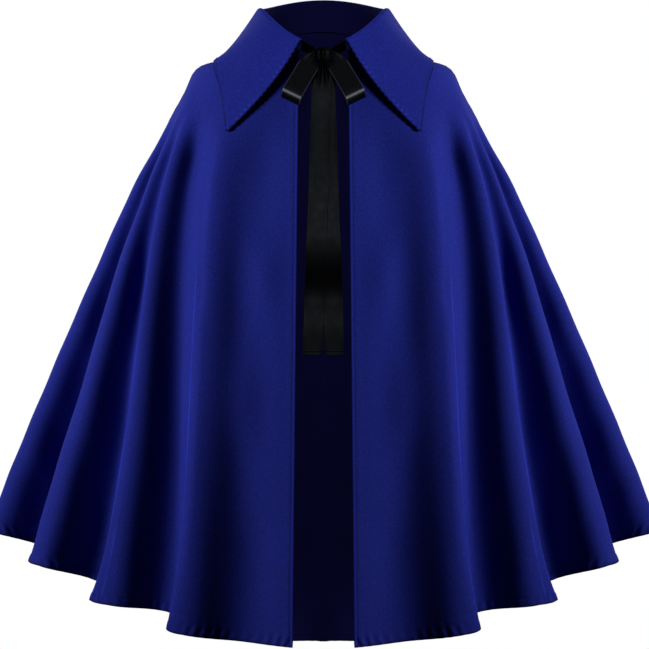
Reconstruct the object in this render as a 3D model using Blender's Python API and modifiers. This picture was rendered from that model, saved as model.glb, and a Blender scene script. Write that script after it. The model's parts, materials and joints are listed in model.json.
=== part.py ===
"""Short cape with a turned-down collar and a satin ribbon tie, shaped as it hangs on a wearer.

Metres, +Z up. The front faces -Y and +X is the wearer's left. The origin is the middle of the
neck opening, level with the neck seam at the side of the neck, where the wearer carries it.
Angles run round the cape in degrees: 0 at the centre front, 90 at the side, 180 at the centre back.
"""

import math

import bmesh
import bpy
from mathutils import Vector

# Cloth, seams and edges
CLOTH_THICKNESS = 0.0020
COLLAR_THICKNESS = 0.0024
RIBBON_THICKNESS = 0.0010
SEAM_GAP = 0.0004
SIDE_SEAM_GAP = 0.0008

# Centre front: half the gap between the two fronts, at the neck and at the hem
FRONT_GAP_TOP = 0.0300
FRONT_GAP_HEM = 0.0365

# Neck seam: how far it drops at the front and climbs at the back from the side of the neck
NECK_FRONT_DROP = 0.0280
NECK_BACK_RISE = 0.0120
NECK_FRONT_POWER = 5
NECK_BACK_POWER = 3
NECK_STEPS = 20

# The outer form that the fold ridges touch, as level rings: half width and depth at each height
FORM_COLUMNS = ("height", "half_width", "front_depth", "back_depth")
FORM_RINGS = (
    (0.0140, 0.0600, 0.0560, 0.0700),
    (0.0000, 0.0760, 0.0610, 0.0730),
    (-0.0208, 0.1095, 0.0690, 0.0800),
    (-0.0315, 0.1350, 0.0740, 0.0845),
    (-0.0360, 0.1500, 0.0765, 0.0865),
    (-0.0410, 0.1580, 0.0790, 0.0885),
    (-0.0471, 0.1628, 0.0820, 0.0910),
    (-0.0659, 0.1712, 0.0900, 0.0980),
    (-0.1034, 0.1922, 0.1030, 0.1100),
    (-0.1910, 0.2408, 0.1260, 0.1340),
    (-0.3410, 0.3094, 0.1580, 0.1680),
    (-0.4910, 0.3740, 0.1900, 0.2030),
    (-0.6160, 0.4240, 0.2160, 0.2320),
    (-0.7350, 0.4680, 0.2400, 0.2590),
    (-0.7900, 0.4880, 0.2500, 0.2710),
)

# Fold lines from the centre front edge round one side to the centre back. A line runs from its upper
# angle at the shoulder to its hem angle, sinks from its upper depth to its hem depth inside the form,
# and ends at its hem height. Lines with no depth are ridges. The bulge rounds the
# fold after the line, and the overhang adds to it towards the hem.
FOLD_COLUMNS = ("name", "upper_angle", "hem_angle", "upper_depth", "hem_depth", "bulge", "overhang", "hem_height")
FOLD_LINES = (
    ("front_edge", 13.5, 4.5, 0.0000, 0.0040, 0.000, 0.00, -0.7395),
    ("front_hollow", 22.0, 12.4, 0.0055, 0.0200, 0.005, 0.00, -0.7340),
    ("ridge_a", 37.1, 21.1, 0.0000, 0.0000, 0.020, 0.30, -0.7255),
    ("valley_ab", 51.2, 25.8, 0.0155, 0.0295, 0.015, 0.00, -0.7010),
    ("ridge_b", 60.3, 34.6, 0.0000, 0.0000, 0.045, 0.27, -0.6930),
    ("valley_bc", 64.3, 42.0, 0.0048, 0.0490, 0.020, 0.00, -0.6690),
    ("ridge_c", 68.8, 52.0, 0.0000, 0.0000, 0.140, 0.02, -0.6500),
    ("valley_cd", 72.5, 63.6, 0.0073, 0.0650, 0.080, 0.00, -0.6350),
    ("ridge_d", 80.4, 78.0, 0.0000, 0.0000, 0.050, 0.00, -0.6145),
    ("side_hollow", 88.0, 91.0, 0.0050, 0.0450, 0.030, 0.00, -0.6110),
    ("ridge_e", 97.0, 105.0, 0.0000, 0.0000, 0.040, 0.00, -0.6150),
    ("valley_ef", 106.0, 119.0, 0.0075, 0.0540, 0.090, 0.06, -0.6320),
    ("ridge_f", 112.5, 130.5, 0.0000, 0.0000, 0.040, 0.00, -0.6550),
    ("valley_fg", 118.0, 140.0, 0.0080, 0.0480, 0.020, 0.16, -0.6850),
    ("ridge_g", 125.0, 148.0, 0.0000, 0.0000, 0.030, 0.00, -0.7140),
    ("valley_gh", 134.5, 156.5, 0.0085, 0.0340, 0.015, 0.26, -0.7420),
    ("ridge_h", 146.0, 163.5, 0.0000, 0.0000, 0.020, 0.00, -0.7640),
    ("valley_hi", 161.0, 172.0, 0.0050, 0.0260, 0.000, 0.00, -0.7775),
    ("centre_back", 180.0, 180.0, 0.0000, 0.0000, 0.000, 0.00, -0.7820),
)
SIDE_SEAM_PLACE = 9.6
SIDE_SEAM_PROBE = 0.02
FOLDS_SPREAD_FROM = -0.118
FOLD_SPREAD_POWER = 2
FOLDS_START = -0.087
FOLDS_OPEN_WITHIN = 0.076
OVERHANG_POWER = 6

# Facets of the panels
STEPS_PER_FOLD = 5
PANEL_ROWS = 14
PANEL_ROW_POWER = 1.7
MERIDIAN_SAMPLES = 160

# Collar: a stand on the neck seam, a roll line and a fall. The fall's outer edge is given by points on
# the cape's form, moved out. Share counts along the collar from its front end to the centre back.
# The fall bends out of its straight line by the bow, and towards the centre front by the lean, at a
# place that slides towards the edge.
ROLL_HALF_WIDTH = 0.0790
ROLL_FRONT_DEPTH = 0.0750
ROLL_BACK_DEPTH = 0.0780
ROLL_SIDE_HEIGHT = 0.0354
ROLL_FRONT_DROP = 0.0500
ROLL_BACK_RISE = 0.0180
ROLL_FRONT_ANGLE = 20.5
ROLL_RADIUS = 0.0040
ROLL_END_ANGLE = 40.0
COLLAR_LIFT = 0.0034
STAND_SEAM = 0.0022
PROBE_ANGLE = 0.5
PROBE_HEIGHT = 0.001
EDGE_COLUMNS = ("share", "angle", "height", "bow", "slide", "lean")
COLLAR_EDGE = (
    (0.000, 35.0, -0.1250, 0.0090, 0.0030, 0.0240),
    (0.150, 42.5, -0.0850, 0.0070, 0.0000, 0.0100),
    (0.260, 60.0, -0.0385, -0.0030, 0.0100, 0.0000),
    (0.350, 75.0, -0.0320, -0.0085, 0.0220, 0.0000),
    (0.436, 90.0, -0.0305, -0.0105, 0.0270, 0.0000),
    (0.720, 135.0, -0.0240, -0.0060, 0.0140, 0.0000),
    (1.000, 180.0, -0.0120, 0.0100, 0.0000, 0.0000),
)
COLLAR_COLUMNS = 44
STAND_ROWS = 4
ROLL_ROWS = 4
FALL_ROWS = 6
COLLAR_SAMPLES = 120

# Ribbon tie: a knot in the gap of the collar, two loops, two tails and two leads to the collar.
# A path gives the ribbon's middle on the wearer's left; a loop runs out in front and back behind.
PATH_COLUMNS = ("side", "depth", "height")
RIBBON_WIDTH = 0.0250
GATHERED_WIDTH = 0.0120
KNOT_HALF_SIZE = (0.0100, 0.0075, 0.0100)
KNOT_CENTRE = (0.0, -0.0835, -0.0300)
KNOT_BEVEL = 0.0030
KNOT_BEVEL_STEPS = 3
RIBBON_STEPS_ACROSS = 4
LOOP_STEPS = 44
LOOP_TURN_SHARE = 0.10
LOOP_FULL_SHARE = 0.12
LOOP_PATH = (
    (0.0108, -0.0870, -0.0290),
    (0.0165, -0.0945, -0.0400),
    (0.0275, -0.1058, -0.0590),
    (0.0352, -0.1140, -0.0726),
    (0.0385, -0.1165, -0.0790),
    (0.0401, -0.1143, -0.0847),
    (0.0405, -0.1080, -0.0875),
    (0.0398, -0.1018, -0.0845),
    (0.0375, -0.0994, -0.0780),
    (0.0285, -0.0970, -0.0600),
    (0.0175, -0.0905, -0.0405),
    (0.0108, -0.0825, -0.0290),
)
LOOP_SLANT = 26.0
TAIL_STEPS = 33
TAIL_FULL_SHARE = 0.05
TAIL_PATH = (
    (0.0015, -0.0850, -0.0405),
    (0.0025, -0.0905, -0.0700),
    (0.0030, -0.0960, -0.1000),
    (0.0042, -0.1057, -0.1500),
    (0.0062, -0.1151, -0.2000),
    (0.0074, -0.1201, -0.2300),
    (0.0086, -0.1244, -0.2600),
    (0.0096, -0.1259, -0.2850),
    (0.0107, -0.1246, -0.3170),
    (0.0116, -0.1263, -0.3390),
    (0.0124, -0.1301, -0.3657),
    (0.0134, -0.1335, -0.3960),
)
TAIL_LAYER = 0.0032
LEAD_STEPS = 8
LEAD_KNOT_DEPTH = -0.0778
LEAD_KNOT_HEIGHT = -0.0260

CLOTH_COLOUR = (0.0105, 0.0130, 0.1650, 1.0)
CLOTH_ROUGHNESS = 0.85
RIBBON_COLOUR = (0.0040, 0.0040, 0.0050, 1.0)
RIBBON_ROUGHNESS = 0.35


def rows_of(columns, table):
    """The table's rows as dictionaries with named columns."""
    return [dict(zip(columns, row)) for row in table]


def smooth_through(xs, ys):
    """A function that runs smoothly through the points (monotone cubic), with xs in rising order."""
    slopes = [(ys[i + 1] - ys[i]) / (xs[i + 1] - xs[i]) for i in range(len(xs) - 1)]
    tangents = [slopes[0]]
    for before, after in zip(slopes, slopes[1:]):
        same_way = before * after > 0
        tangents.append(2 * before * after / (before + after) if same_way else 0.0)
    tangents.append(slopes[-1])

    def value(x):
        x = min(max(x, xs[0]), xs[-1])
        i = max(k for k in range(len(xs) - 1) if xs[k] <= x)
        width = xs[i + 1] - xs[i]
        t = (x - xs[i]) / width
        return (
            (1 + 2 * t) * (1 - t) ** 2 * ys[i]
            + t * (1 - t) ** 2 * width * tangents[i]
            + t * t * (3 - 2 * t) * ys[i + 1]
            - t * t * (1 - t) * width * tangents[i + 1]
        )

    return value


def by_arc_length(points):
    """A function from a share of the line's length, 0 to 1, to the point there."""
    lengths = [0.0]
    for a, b in zip(points, points[1:]):
        lengths.append(lengths[-1] + (b - a).length)

    def point(share):
        wanted = min(max(share, 0.0), 1.0) * lengths[-1]
        i = max(k for k in range(len(points) - 1) if lengths[k] <= wanted)
        step = lengths[i + 1] - lengths[i]
        return points[i].lerp(points[i + 1], (wanted - lengths[i]) / step)

    return point


def spline_through(points, count):
    """Points at even parameter steps on a Catmull-Rom curve through the given points."""
    padded = [2 * points[0] - points[1], *points, 2 * points[-1] - points[-2]]
    found = []
    for n in range(count + 1):
        at = min(n / count * (len(points) - 1), len(points) - 1 - 1e-9)
        i, t = int(at), at - int(at)
        a, b, c, d = padded[i : i + 4]
        found.append(
            0.5
            * (
                2 * b
                + (c - a) * t
                + (2 * a - 5 * b + 4 * c - d) * t * t
                + (3 * b - a - 3 * c + d) * t**3
            )
        )
    return found


def soft_step(t):
    t = min(max(t, 0.0), 1.0)
    return t * t * (3 - 2 * t)


# The cape's form

FORM = rows_of(FORM_COLUMNS, sorted(FORM_RINGS))
FORM_HEIGHTS = [ring["height"] for ring in FORM]
HALF_WIDTH, FRONT_DEPTH, BACK_DEPTH = (
    smooth_through(FORM_HEIGHTS, [ring[column] for ring in FORM]) for column in FORM_COLUMNS[1:]
)
FOLDS = rows_of(FOLD_COLUMNS, FOLD_LINES)
LINE_NUMBERS = list(range(len(FOLDS)))
HEM_HEIGHT = smooth_through(LINE_NUMBERS, [line["hem_height"] for line in FOLDS])


def ring_point(angle, height, inward=0.0):
    """The point of the level ring at this angle, moved into the ring."""
    a = math.radians(angle)
    width = HALF_WIDTH(height)
    depth = FRONT_DEPTH(height) if math.cos(a) > 0 else BACK_DEPTH(height)
    point = Vector((width * math.sin(a), -depth * math.cos(a), height))
    outward = Vector((math.sin(a) / width, -math.cos(a) / depth, 0.0)).normalized()
    return point - inward * outward


def neck_height(angle):
    c = math.cos(math.radians(angle))
    if c > 0:
        return -NECK_FRONT_DROP * c**NECK_FRONT_POWER
    return NECK_BACK_RISE * (-c) ** NECK_BACK_POWER


def line_share(line, height):
    """How far down a fold line this height is: 0 at the shoulder, 1 at the hem."""
    share = (FOLDS_SPREAD_FROM - height) / (FOLDS_SPREAD_FROM - line["hem_height"])
    return min(max(share, 0.0), 1.0)


def line_angle(number, height):
    """Where a fold line lies on the ring at this height."""
    line = FOLDS[number]
    if number == 0:
        drop = (height - neck_height(line["upper_angle"])) / line["hem_height"]
        gap = FRONT_GAP_TOP + (FRONT_GAP_HEM - FRONT_GAP_TOP) * min(max(drop, 0.0), 1.0)
        return math.degrees(math.asin(gap / HALF_WIDTH(height)))
    left = (1 - line_share(line, height)) ** FOLD_SPREAD_POWER
    return line["hem_angle"] + (line["upper_angle"] - line["hem_angle"]) * left


def line_depth(number, height):
    """How far inside the form a fold line lies at this height, with a soft start at the shoulder."""
    line = FOLDS[number]
    opened = soft_step((FOLDS_START - height) / FOLDS_OPEN_WITHIN)
    deepening = (line["hem_depth"] - line["upper_depth"]) * line_share(line, height)
    return opened * (line["upper_depth"] + deepening)


def fold_place(line, height):
    """Angle and inward depth of the cloth at a place between fold lines, given as a line number."""
    number = min(int(line), len(FOLDS) - 2)
    share = line - number
    first, last = line_angle(number, height), line_angle(number + 1, height)
    fold = FOLDS[number]
    bulge = fold["bulge"] + fold["overhang"] * line_share(fold, height) ** OVERHANG_POWER
    angle = first + (last - first) * (share + bulge * math.sin(2 * math.pi * share))
    depths = [line_depth(n, height) for n in (number, number + 1)]
    blend = (1 - math.cos(math.pi * share)) / 2
    return angle, depths[0] + (depths[1] - depths[0]) * blend


def cloth_point(line, height):
    """The middle of the cloth at a place between fold lines and at a height."""
    angle, inward = fold_place(line, height)
    return ring_point(angle, height, inward)


def neck_top(line):
    """Height of the neck seam at a place between fold lines, closed in on step by step."""
    height = -NECK_FRONT_DROP
    for _ in range(NECK_STEPS):
        height = neck_height(fold_place(line, height)[0])
    return height


def meridian(line):
    """A function from a share of the cloth's length, neck to hem, to the height there."""
    top, hem = neck_top(line), HEM_HEIGHT(line)
    heights = [top + (hem - top) * (n / MERIDIAN_SAMPLES) ** 2 for n in range(MERIDIAN_SAMPLES + 1)]
    upper = fold_place(line, top)[0]
    walk = by_arc_length([ring_point(upper, height) for height in heights])
    return lambda share: walk(share).z


# Meshes


def new_object(name, mesh, material, collection):
    made = bpy.data.objects.new(name, mesh)
    mesh.materials.append(material)
    collection.objects.link(made)
    return made


def cloth_wall(name, columns, rows, place, thickness, material, collection):
    """A grid bent to place(u, v), with u and v from 0 to 1, and thickened to a wall of cloth."""
    bm = bmesh.new()
    bmesh.ops.create_grid(bm, x_segments=columns, y_segments=rows, size=0.5)
    for vertex in bm.verts:
        vertex.co = place(vertex.co.x + 0.5, vertex.co.y + 0.5)
    bmesh.ops.recalc_face_normals(bm, faces=bm.faces)
    mesh = bpy.data.meshes.new(name)
    bm.to_mesh(mesh)
    bm.free()
    mesh.shade_smooth()
    wall = new_object(name, mesh, material, collection)
    solidify = wall.modifiers.new("cloth", "SOLIDIFY")
    solidify.thickness = thickness
    solidify.offset = 0.0
    return wall


def seam_allowance(height):
    """Half the gap of the side seam at this height, counted in fold lines."""
    ahead = cloth_point(SIDE_SEAM_PLACE + SIDE_SEAM_PROBE, height)
    behind = cloth_point(SIDE_SEAM_PLACE - SIDE_SEAM_PROBE, height)
    return SIDE_SEAM_GAP * SIDE_SEAM_PROBE / (ahead - behind).length


def panel(name, first_line, last_line, side, material, collection):
    """A panel of the cape between two places counted in fold lines, on the +X side or mirrored to -X.
    Lines past the centre back count on round the other side. An end at the side seam is cut back."""
    columns = round((last_line - first_line) * STEPS_PER_FOLD)
    back = LINE_NUMBERS[-1]
    inward = 1 if first_line == SIDE_SEAM_PLACE else -1
    walks = {}

    def place(u, v):
        line = first_line + (last_line - first_line) * round(u * columns) / columns
        here = -side if line > back else side
        line = 2 * back - line if line > back else line
        if line not in walks:
            walks[line] = meridian(line)
        height = walks[line](v**PANEL_ROW_POWER)
        if math.isclose(line, SIDE_SEAM_PLACE):
            point = cloth_point(line + inward * seam_allowance(height), height)
        else:
            point = cloth_point(line, height)
        return Vector((here * point.x, point.y, point.z))

    return cloth_wall(name, columns, PANEL_ROWS, place, CLOTH_THICKNESS, material, collection)


def build_panels(material, collection):
    round_the_back = 2 * LINE_NUMBERS[-1] - SIDE_SEAM_PLACE
    panel("front_left", 0, SIDE_SEAM_PLACE, 1, material, collection)
    panel("front_right", 0, SIDE_SEAM_PLACE, -1, material, collection)
    panel("back", SIDE_SEAM_PLACE, round_the_back, 1, material, collection)


# Collar


def neck_line():
    """A function from a share of the neck seam, front to back, to its point and the way the cape's
    cloth runs up to it."""
    start = line_angle(0, neck_top(0))
    angles = [start + (180 - start) * n / COLLAR_SAMPLES for n in range(COLLAR_SAMPLES + 1)]
    points = [ring_point(angle, neck_height(angle)) for angle in angles]
    lengths = [0.0]
    for a, b in zip(points, points[1:]):
        lengths.append(lengths[-1] + (b - a).length)
    angle_at = smooth_through([length / lengths[-1] for length in lengths], angles)

    def seam(share):
        angle = angle_at(share)
        height = neck_height(angle)
        point = ring_point(angle, height)
        return point, (point - ring_point(angle, height - STAND_SEAM)).normalized()

    return seam


def roll_point(angle):
    a = math.radians(angle)
    c = math.cos(a)
    depth = ROLL_FRONT_DEPTH if c > 0 else ROLL_BACK_DEPTH
    height = ROLL_SIDE_HEIGHT + (-ROLL_FRONT_DROP if c > 0 else ROLL_BACK_RISE) * c * c
    return Vector((ROLL_HALF_WIDTH * math.sin(a), -depth * c, height))


def roll_line():
    span = 180 - ROLL_FRONT_ANGLE
    angles = [ROLL_FRONT_ANGLE + span * n / COLLAR_SAMPLES for n in range(COLLAR_SAMPLES + 1)]
    return by_arc_length([roll_point(angle) for angle in angles])


def form_normal(angle, height):
    """Outward normal of the form."""
    along = ring_point(angle + PROBE_ANGLE, height) - ring_point(angle - PROBE_ANGLE, height)
    down = ring_point(angle, height - PROBE_HEIGHT) - ring_point(angle, height + PROBE_HEIGHT)
    return down.cross(along).normalized()


def collar_edge():
    edge = rows_of(EDGE_COLUMNS, COLLAR_EDGE)
    shares = [row["share"] for row in edge]
    angle_at = smooth_through(shares, [row["angle"] for row in edge])
    height_at = smooth_through(shares, [row["height"] for row in edge])
    bow_at = smooth_through(shares, [row["bow"] for row in edge])
    slide_at = smooth_through(shares, [row["slide"] for row in edge])
    lean_at = smooth_through(shares, [row["lean"] for row in edge])

    def point(share):
        angle, height = angle_at(share), height_at(share)
        normal = form_normal(angle, height)
        outer = ring_point(angle, height) + COLLAR_LIFT * normal
        ahead, behind = (ring_point(angle + step, height) for step in (-PROBE_ANGLE, PROBE_ANGLE))
        towards_front = (ahead - behind).normalized()
        return outer, bow_at(share) * normal + lean_at(share) * towards_front, slide_at(share)

    return point


def build_collar(material, collection):
    neck, roll, edge = neck_line(), roll_line(), collar_edge()
    rows = STAND_ROWS + ROLL_ROWS + FALL_ROWS
    up = Vector((0.0, 0.0, 1.0))

    def section(share, row):
        """A point of the collar's half: up the stand, over the roll and down the fall."""
        top, (outer, bow, slide) = roll(share), edge(share)
        outward = Vector((top.x / ROLL_HALF_WIDTH**2, top.y / ROLL_BACK_DEPTH**2, 0.0)).normalized()
        centre = top - ROLL_RADIUS * up
        if row <= STAND_ROWS:
            head = centre - ROLL_RADIUS * outward
            seam, rise = neck(share)
            if row < 1:
                return seam + SEAM_GAP * rise
            foot = seam + (SEAM_GAP + STAND_SEAM) * rise
            return foot.lerp(head, (row - 1) / (STAND_ROWS - 1))
        if row <= STAND_ROWS + ROLL_ROWS:
            turned = (row - STAND_ROWS) / ROLL_ROWS
            a = math.radians(180 - (180 - ROLL_END_ANGLE) * turned)
            return centre + ROLL_RADIUS * (math.cos(a) * outward + math.sin(a) * up)
        a = math.radians(ROLL_END_ANGLE)
        start = centre + ROLL_RADIUS * (math.cos(a) * outward + math.sin(a) * up)
        t = (row - STAND_ROWS - ROLL_ROWS) / FALL_ROWS
        bend = start.lerp(outer, 0.5) + bow + slide * (outer - start).normalized()
        return start.lerp(bend, t).lerp(bend.lerp(outer, t), t)

    def place(u, v):
        share = 1 - abs(2 * u - 1)
        point = section(share, round(v * rows))
        return point if u <= 0.5 else Vector((-point.x, point.y, point.z))

    return cloth_wall("collar", COLLAR_COLUMNS, rows, place, COLLAR_THICKNESS, material, collection)


# Ribbon tie


def ribbon(name, path, across, width, side, material, collection):
    """A strip of ribbon along a path, with its cross direction and width as functions of the share."""
    steps = len(path) - 1

    def place(u, v):
        n = round(v * steps)
        point = path[n] + across(v) * width(v) * (u - 0.5)
        return Vector((side * point.x, point.y, point.z))

    return cloth_wall(
        name, RIBBON_STEPS_ACROSS, steps, place, RIBBON_THICKNESS, material, collection
    )


def build_knot(material, collection):
    bpy.ops.mesh.primitive_cube_add(size=2.0)
    knot = bpy.context.object
    knot.name = knot.data.name = "tie_knot"
    for vertex in knot.data.vertices:
        vertex.co = Vector(KNOT_CENTRE) + vertex.co * Vector(KNOT_HALF_SIZE)
    knot.data.materials.append(material)
    for other in list(knot.users_collection):
        other.objects.unlink(knot)
    collection.objects.link(knot)
    bevel = knot.modifiers.new("soft_edges", "BEVEL")
    bevel.width = KNOT_BEVEL
    bevel.segments = KNOT_BEVEL_STEPS
    knot.data.shade_smooth()
    return knot


def path_points(table):
    rows = rows_of(PATH_COLUMNS, table)
    return [Vector((row["side"], row["depth"], row["height"])) for row in rows]


def gathered(share, full_from):
    """Ribbon width that opens from the gathers at the knot to the full width."""
    return GATHERED_WIDTH + (RIBBON_WIDTH - GATHERED_WIDTH) * soft_step(share / full_from)


def build_loop(name, side, material, collection):
    slant = math.radians(LOOP_SLANT)
    hanging = Vector((math.cos(slant), 0.0, math.sin(slant)))
    upright = Vector((0.0, 0.0, 1.0))

    def from_knot(share):
        return min(share, 1 - share)

    def across(share):
        return upright.lerp(hanging, soft_step(from_knot(share) / LOOP_TURN_SHARE)).normalized()

    def width(share):
        return gathered(from_knot(share), LOOP_FULL_SHARE)

    path = spline_through(path_points(LOOP_PATH), LOOP_STEPS)
    return ribbon(name, path, across, width, side, material, collection)


def build_tail(name, side, layer, material, collection):
    behind = Vector((0.0, layer, 0.0))
    path = spline_through([point + behind for point in path_points(TAIL_PATH)], TAIL_STEPS)
    level = Vector((1.0, 0.0, 0.0))

    def width(share):
        return gathered(share, TAIL_FULL_SHARE)

    return ribbon(name, path, lambda share: level, width, side, material, collection)


def build_lead(name, side, material, collection):
    """The stretch from the collar's front edge to the knot."""
    top, foot = roll_line()(0.0), neck_line()(0.0)[0]
    sewn = (top + foot) / 2
    sewn.x -= COLLAR_THICKNESS / 2 + SEAM_GAP
    knot_side = KNOT_HALF_SIZE[0] + SEAM_GAP
    tied = Vector((knot_side, LEAD_KNOT_DEPTH, LEAD_KNOT_HEIGHT))
    middle = (sewn + tied) / 2
    path = spline_through([sewn, middle, tied], LEAD_STEPS)
    upright = Vector((0.0, 0.0, 1.0))
    return ribbon(
        name,
        path,
        lambda share: upright,
        lambda share: GATHERED_WIDTH,
        side,
        material,
        collection,
    )


def build_tie(material, collection):
    build_knot(material, collection)
    for word, side, layer in (("left", 1, TAIL_LAYER), ("right", -1, 0.0)):
        build_loop(f"tie_loop_{word}", side, material, collection)
        build_tail(f"tie_tail_{word}", side, layer, material, collection)
        build_lead(f"tie_lead_{word}", side, material, collection)


# Scene


def clear_scene():
    for old in list(bpy.data.objects):
        bpy.data.objects.remove(old)


def new_material(name, colour, roughness):
    material = bpy.data.materials.new(name)
    material.use_nodes = True
    shader = material.node_tree.nodes["Principled BSDF"]
    shader.inputs["Base Color"].default_value = colour
    shader.inputs["Roughness"].default_value = roughness
    shader.inputs["Metallic"].default_value = 0.0
    return material


def main():
    clear_scene()
    collection = bpy.data.collections.new("short_cape")
    bpy.context.scene.collection.children.link(collection)
    cloth = new_material("blue_cloth", CLOTH_COLOUR, CLOTH_ROUGHNESS)
    satin = new_material("black_satin", RIBBON_COLOUR, RIBBON_ROUGHNESS)
    build_panels(cloth, collection)
    build_collar(cloth, collection)
    build_tie(satin, collection)


main()
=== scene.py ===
"""Looks of a short cape: creased cloth panels with turned hems, a pointed collar, a satin bow, its sewing
and a plain studio.

Metres, +Z up. The front faces -Y, +X is the wearer's left and the origin is the middle of the neck
opening. Angles run round the cape in degrees: 0 at the centre front, 90 at the side, 180 at the back.
"""

import json
import math

import bpy
import numpy as np
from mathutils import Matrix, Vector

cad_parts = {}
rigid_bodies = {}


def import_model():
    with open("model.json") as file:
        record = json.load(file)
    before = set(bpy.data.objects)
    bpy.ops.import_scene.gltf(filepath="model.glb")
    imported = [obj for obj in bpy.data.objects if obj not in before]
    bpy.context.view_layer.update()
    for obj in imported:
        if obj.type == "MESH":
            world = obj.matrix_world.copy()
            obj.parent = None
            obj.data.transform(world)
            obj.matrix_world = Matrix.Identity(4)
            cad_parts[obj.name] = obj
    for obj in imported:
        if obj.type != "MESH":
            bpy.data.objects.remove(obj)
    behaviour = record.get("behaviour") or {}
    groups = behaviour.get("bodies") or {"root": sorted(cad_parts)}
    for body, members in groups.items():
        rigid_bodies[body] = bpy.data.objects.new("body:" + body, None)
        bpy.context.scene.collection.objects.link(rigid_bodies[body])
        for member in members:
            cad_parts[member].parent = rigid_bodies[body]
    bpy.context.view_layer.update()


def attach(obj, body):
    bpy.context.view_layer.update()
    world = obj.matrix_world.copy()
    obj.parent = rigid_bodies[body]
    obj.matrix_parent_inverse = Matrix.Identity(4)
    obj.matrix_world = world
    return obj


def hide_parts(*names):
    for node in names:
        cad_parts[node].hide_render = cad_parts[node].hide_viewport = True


bl_info = {
    "name": "Short Cape",
    "version": (1, 0, 0),
    "blender": (4, 5, 0),
    "location": "View3D > Sidebar > Cape",
    "description": "Dresses a short cape with cloth, a collar, a ribbon bow and its sewing",
    "category": "Add Mesh",
}

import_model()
BODY = "root"
TAU = 2 * math.pi
UP = np.array((0.0, 0.0, 1.0))
MIRROR = np.array((-1.0, 1.0, 1.0))

# The form that the fold ridges touch, as level rings
FORM_COLUMNS = ("height", "half_width", "front_depth", "back_depth")
FORM_RINGS = (
    (0.0140, 0.0600, 0.0560, 0.0700),
    (0.0000, 0.0760, 0.0610, 0.0730),
    (-0.0208, 0.1095, 0.0690, 0.0800),
    (-0.0315, 0.1350, 0.0740, 0.0845),
    (-0.0360, 0.1500, 0.0765, 0.0865),
    (-0.0410, 0.1580, 0.0790, 0.0885),
    (-0.0471, 0.1628, 0.0820, 0.0910),
    (-0.0659, 0.1712, 0.0900, 0.0980),
    (-0.1034, 0.1922, 0.1030, 0.1100),
    (-0.1910, 0.2408, 0.1260, 0.1340),
    (-0.3410, 0.3094, 0.1580, 0.1680),
    (-0.4910, 0.3740, 0.1900, 0.2030),
    (-0.6160, 0.4240, 0.2160, 0.2320),
    (-0.7350, 0.4680, 0.2400, 0.2590),
    (-0.7900, 0.4880, 0.2500, 0.2710),
)

# Fold lines from the centre front edge round one side to the centre back, at whole line numbers
FOLD_COLUMNS = (
    "name", "upper_angle", "hem_angle", "upper_depth", "hem_depth", "bulge", "overhang", "hem_height"
)
FOLD_LINES = (
    ("front_edge", 13.5, 4.5, 0.0000, 0.0040, 0.000, 0.00, -0.7395),
    ("front_hollow", 22.0, 12.4, 0.0055, 0.0200, 0.005, 0.00, -0.7340),
    ("ridge_a", 37.1, 21.1, 0.0000, 0.0000, 0.020, 0.30, -0.7255),
    ("valley_ab", 51.2, 25.8, 0.0155, 0.0295, 0.015, 0.00, -0.7010),
    ("ridge_b", 60.3, 34.6, 0.0000, 0.0000, 0.045, 0.27, -0.6930),
    ("valley_bc", 64.3, 42.0, 0.0048, 0.0490, 0.020, 0.00, -0.6690),
    ("ridge_c", 68.8, 52.0, 0.0000, 0.0000, 0.140, 0.02, -0.6500),
    ("valley_cd", 72.5, 63.6, 0.0073, 0.0650, 0.080, 0.00, -0.6350),
    ("ridge_d", 80.4, 78.0, 0.0000, 0.0000, 0.050, 0.00, -0.6145),
    ("side_hollow", 88.0, 91.0, 0.0050, 0.0450, 0.030, 0.00, -0.6110),
    ("ridge_e", 97.0, 105.0, 0.0000, 0.0000, 0.040, 0.00, -0.6150),
    ("valley_ef", 106.0, 119.0, 0.0075, 0.0540, 0.090, 0.06, -0.6320),
    ("ridge_f", 112.5, 130.5, 0.0000, 0.0000, 0.040, 0.00, -0.6550),
    ("valley_fg", 118.0, 140.0, 0.0080, 0.0480, 0.020, 0.16, -0.6850),
    ("ridge_g", 125.0, 148.0, 0.0000, 0.0000, 0.030, 0.00, -0.7140),
    ("valley_gh", 134.5, 156.5, 0.0085, 0.0340, 0.015, 0.26, -0.7420),
    ("ridge_h", 146.0, 163.5, 0.0000, 0.0000, 0.020, 0.00, -0.7640),
    ("valley_hi", 161.0, 172.0, 0.0050, 0.0260, 0.000, 0.00, -0.7775),
    ("centre_back", 180.0, 180.0, 0.0000, 0.0000, 0.000, 0.00, -0.7820),
)
SIDE_SEAM_PLACE = 9.6
SIDE_SEAM_GAP = 0.00008
SIDE_SEAM_FLAT = 0.0120
SEAM_PROBE = 0.02
SEAM_SWELL = 0.0005
SEAM_SWELL_DEPTH = 0.006
SEAM_SWELL_WIDTH = 0.004
SEAM_PUCKER = 0.0003
SEAM_PERIOD = 0.016
SEAM_PHASE = 0.8
FOLDS_SPREAD_FROM = -0.118
FOLDS_START = -0.087
FOLDS_OPEN_WITHIN = 0.076
OVERHANG_POWER = 6
FRONT_GAP_TOP = 0.0300
FRONT_GAP_HEM = 0.0365
NECK_FRONT_DROP = 0.0280
NECK_BACK_RISE = 0.0120
NECK_STEPS = 20

# Grids of the panels: columns for each fold, and close rows and columns along the sewn edges
FRONT_FOLD_COLUMNS = 28
BACK_FOLD_COLUMNS = 19
PANEL_ROWS = 92
MERIDIAN_SAMPLES = 400
EDGE_STRIP = 0.014
EDGE_STRIP_STEPS = 16
TYPICAL_FOLD_WIDTH = 0.06

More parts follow.
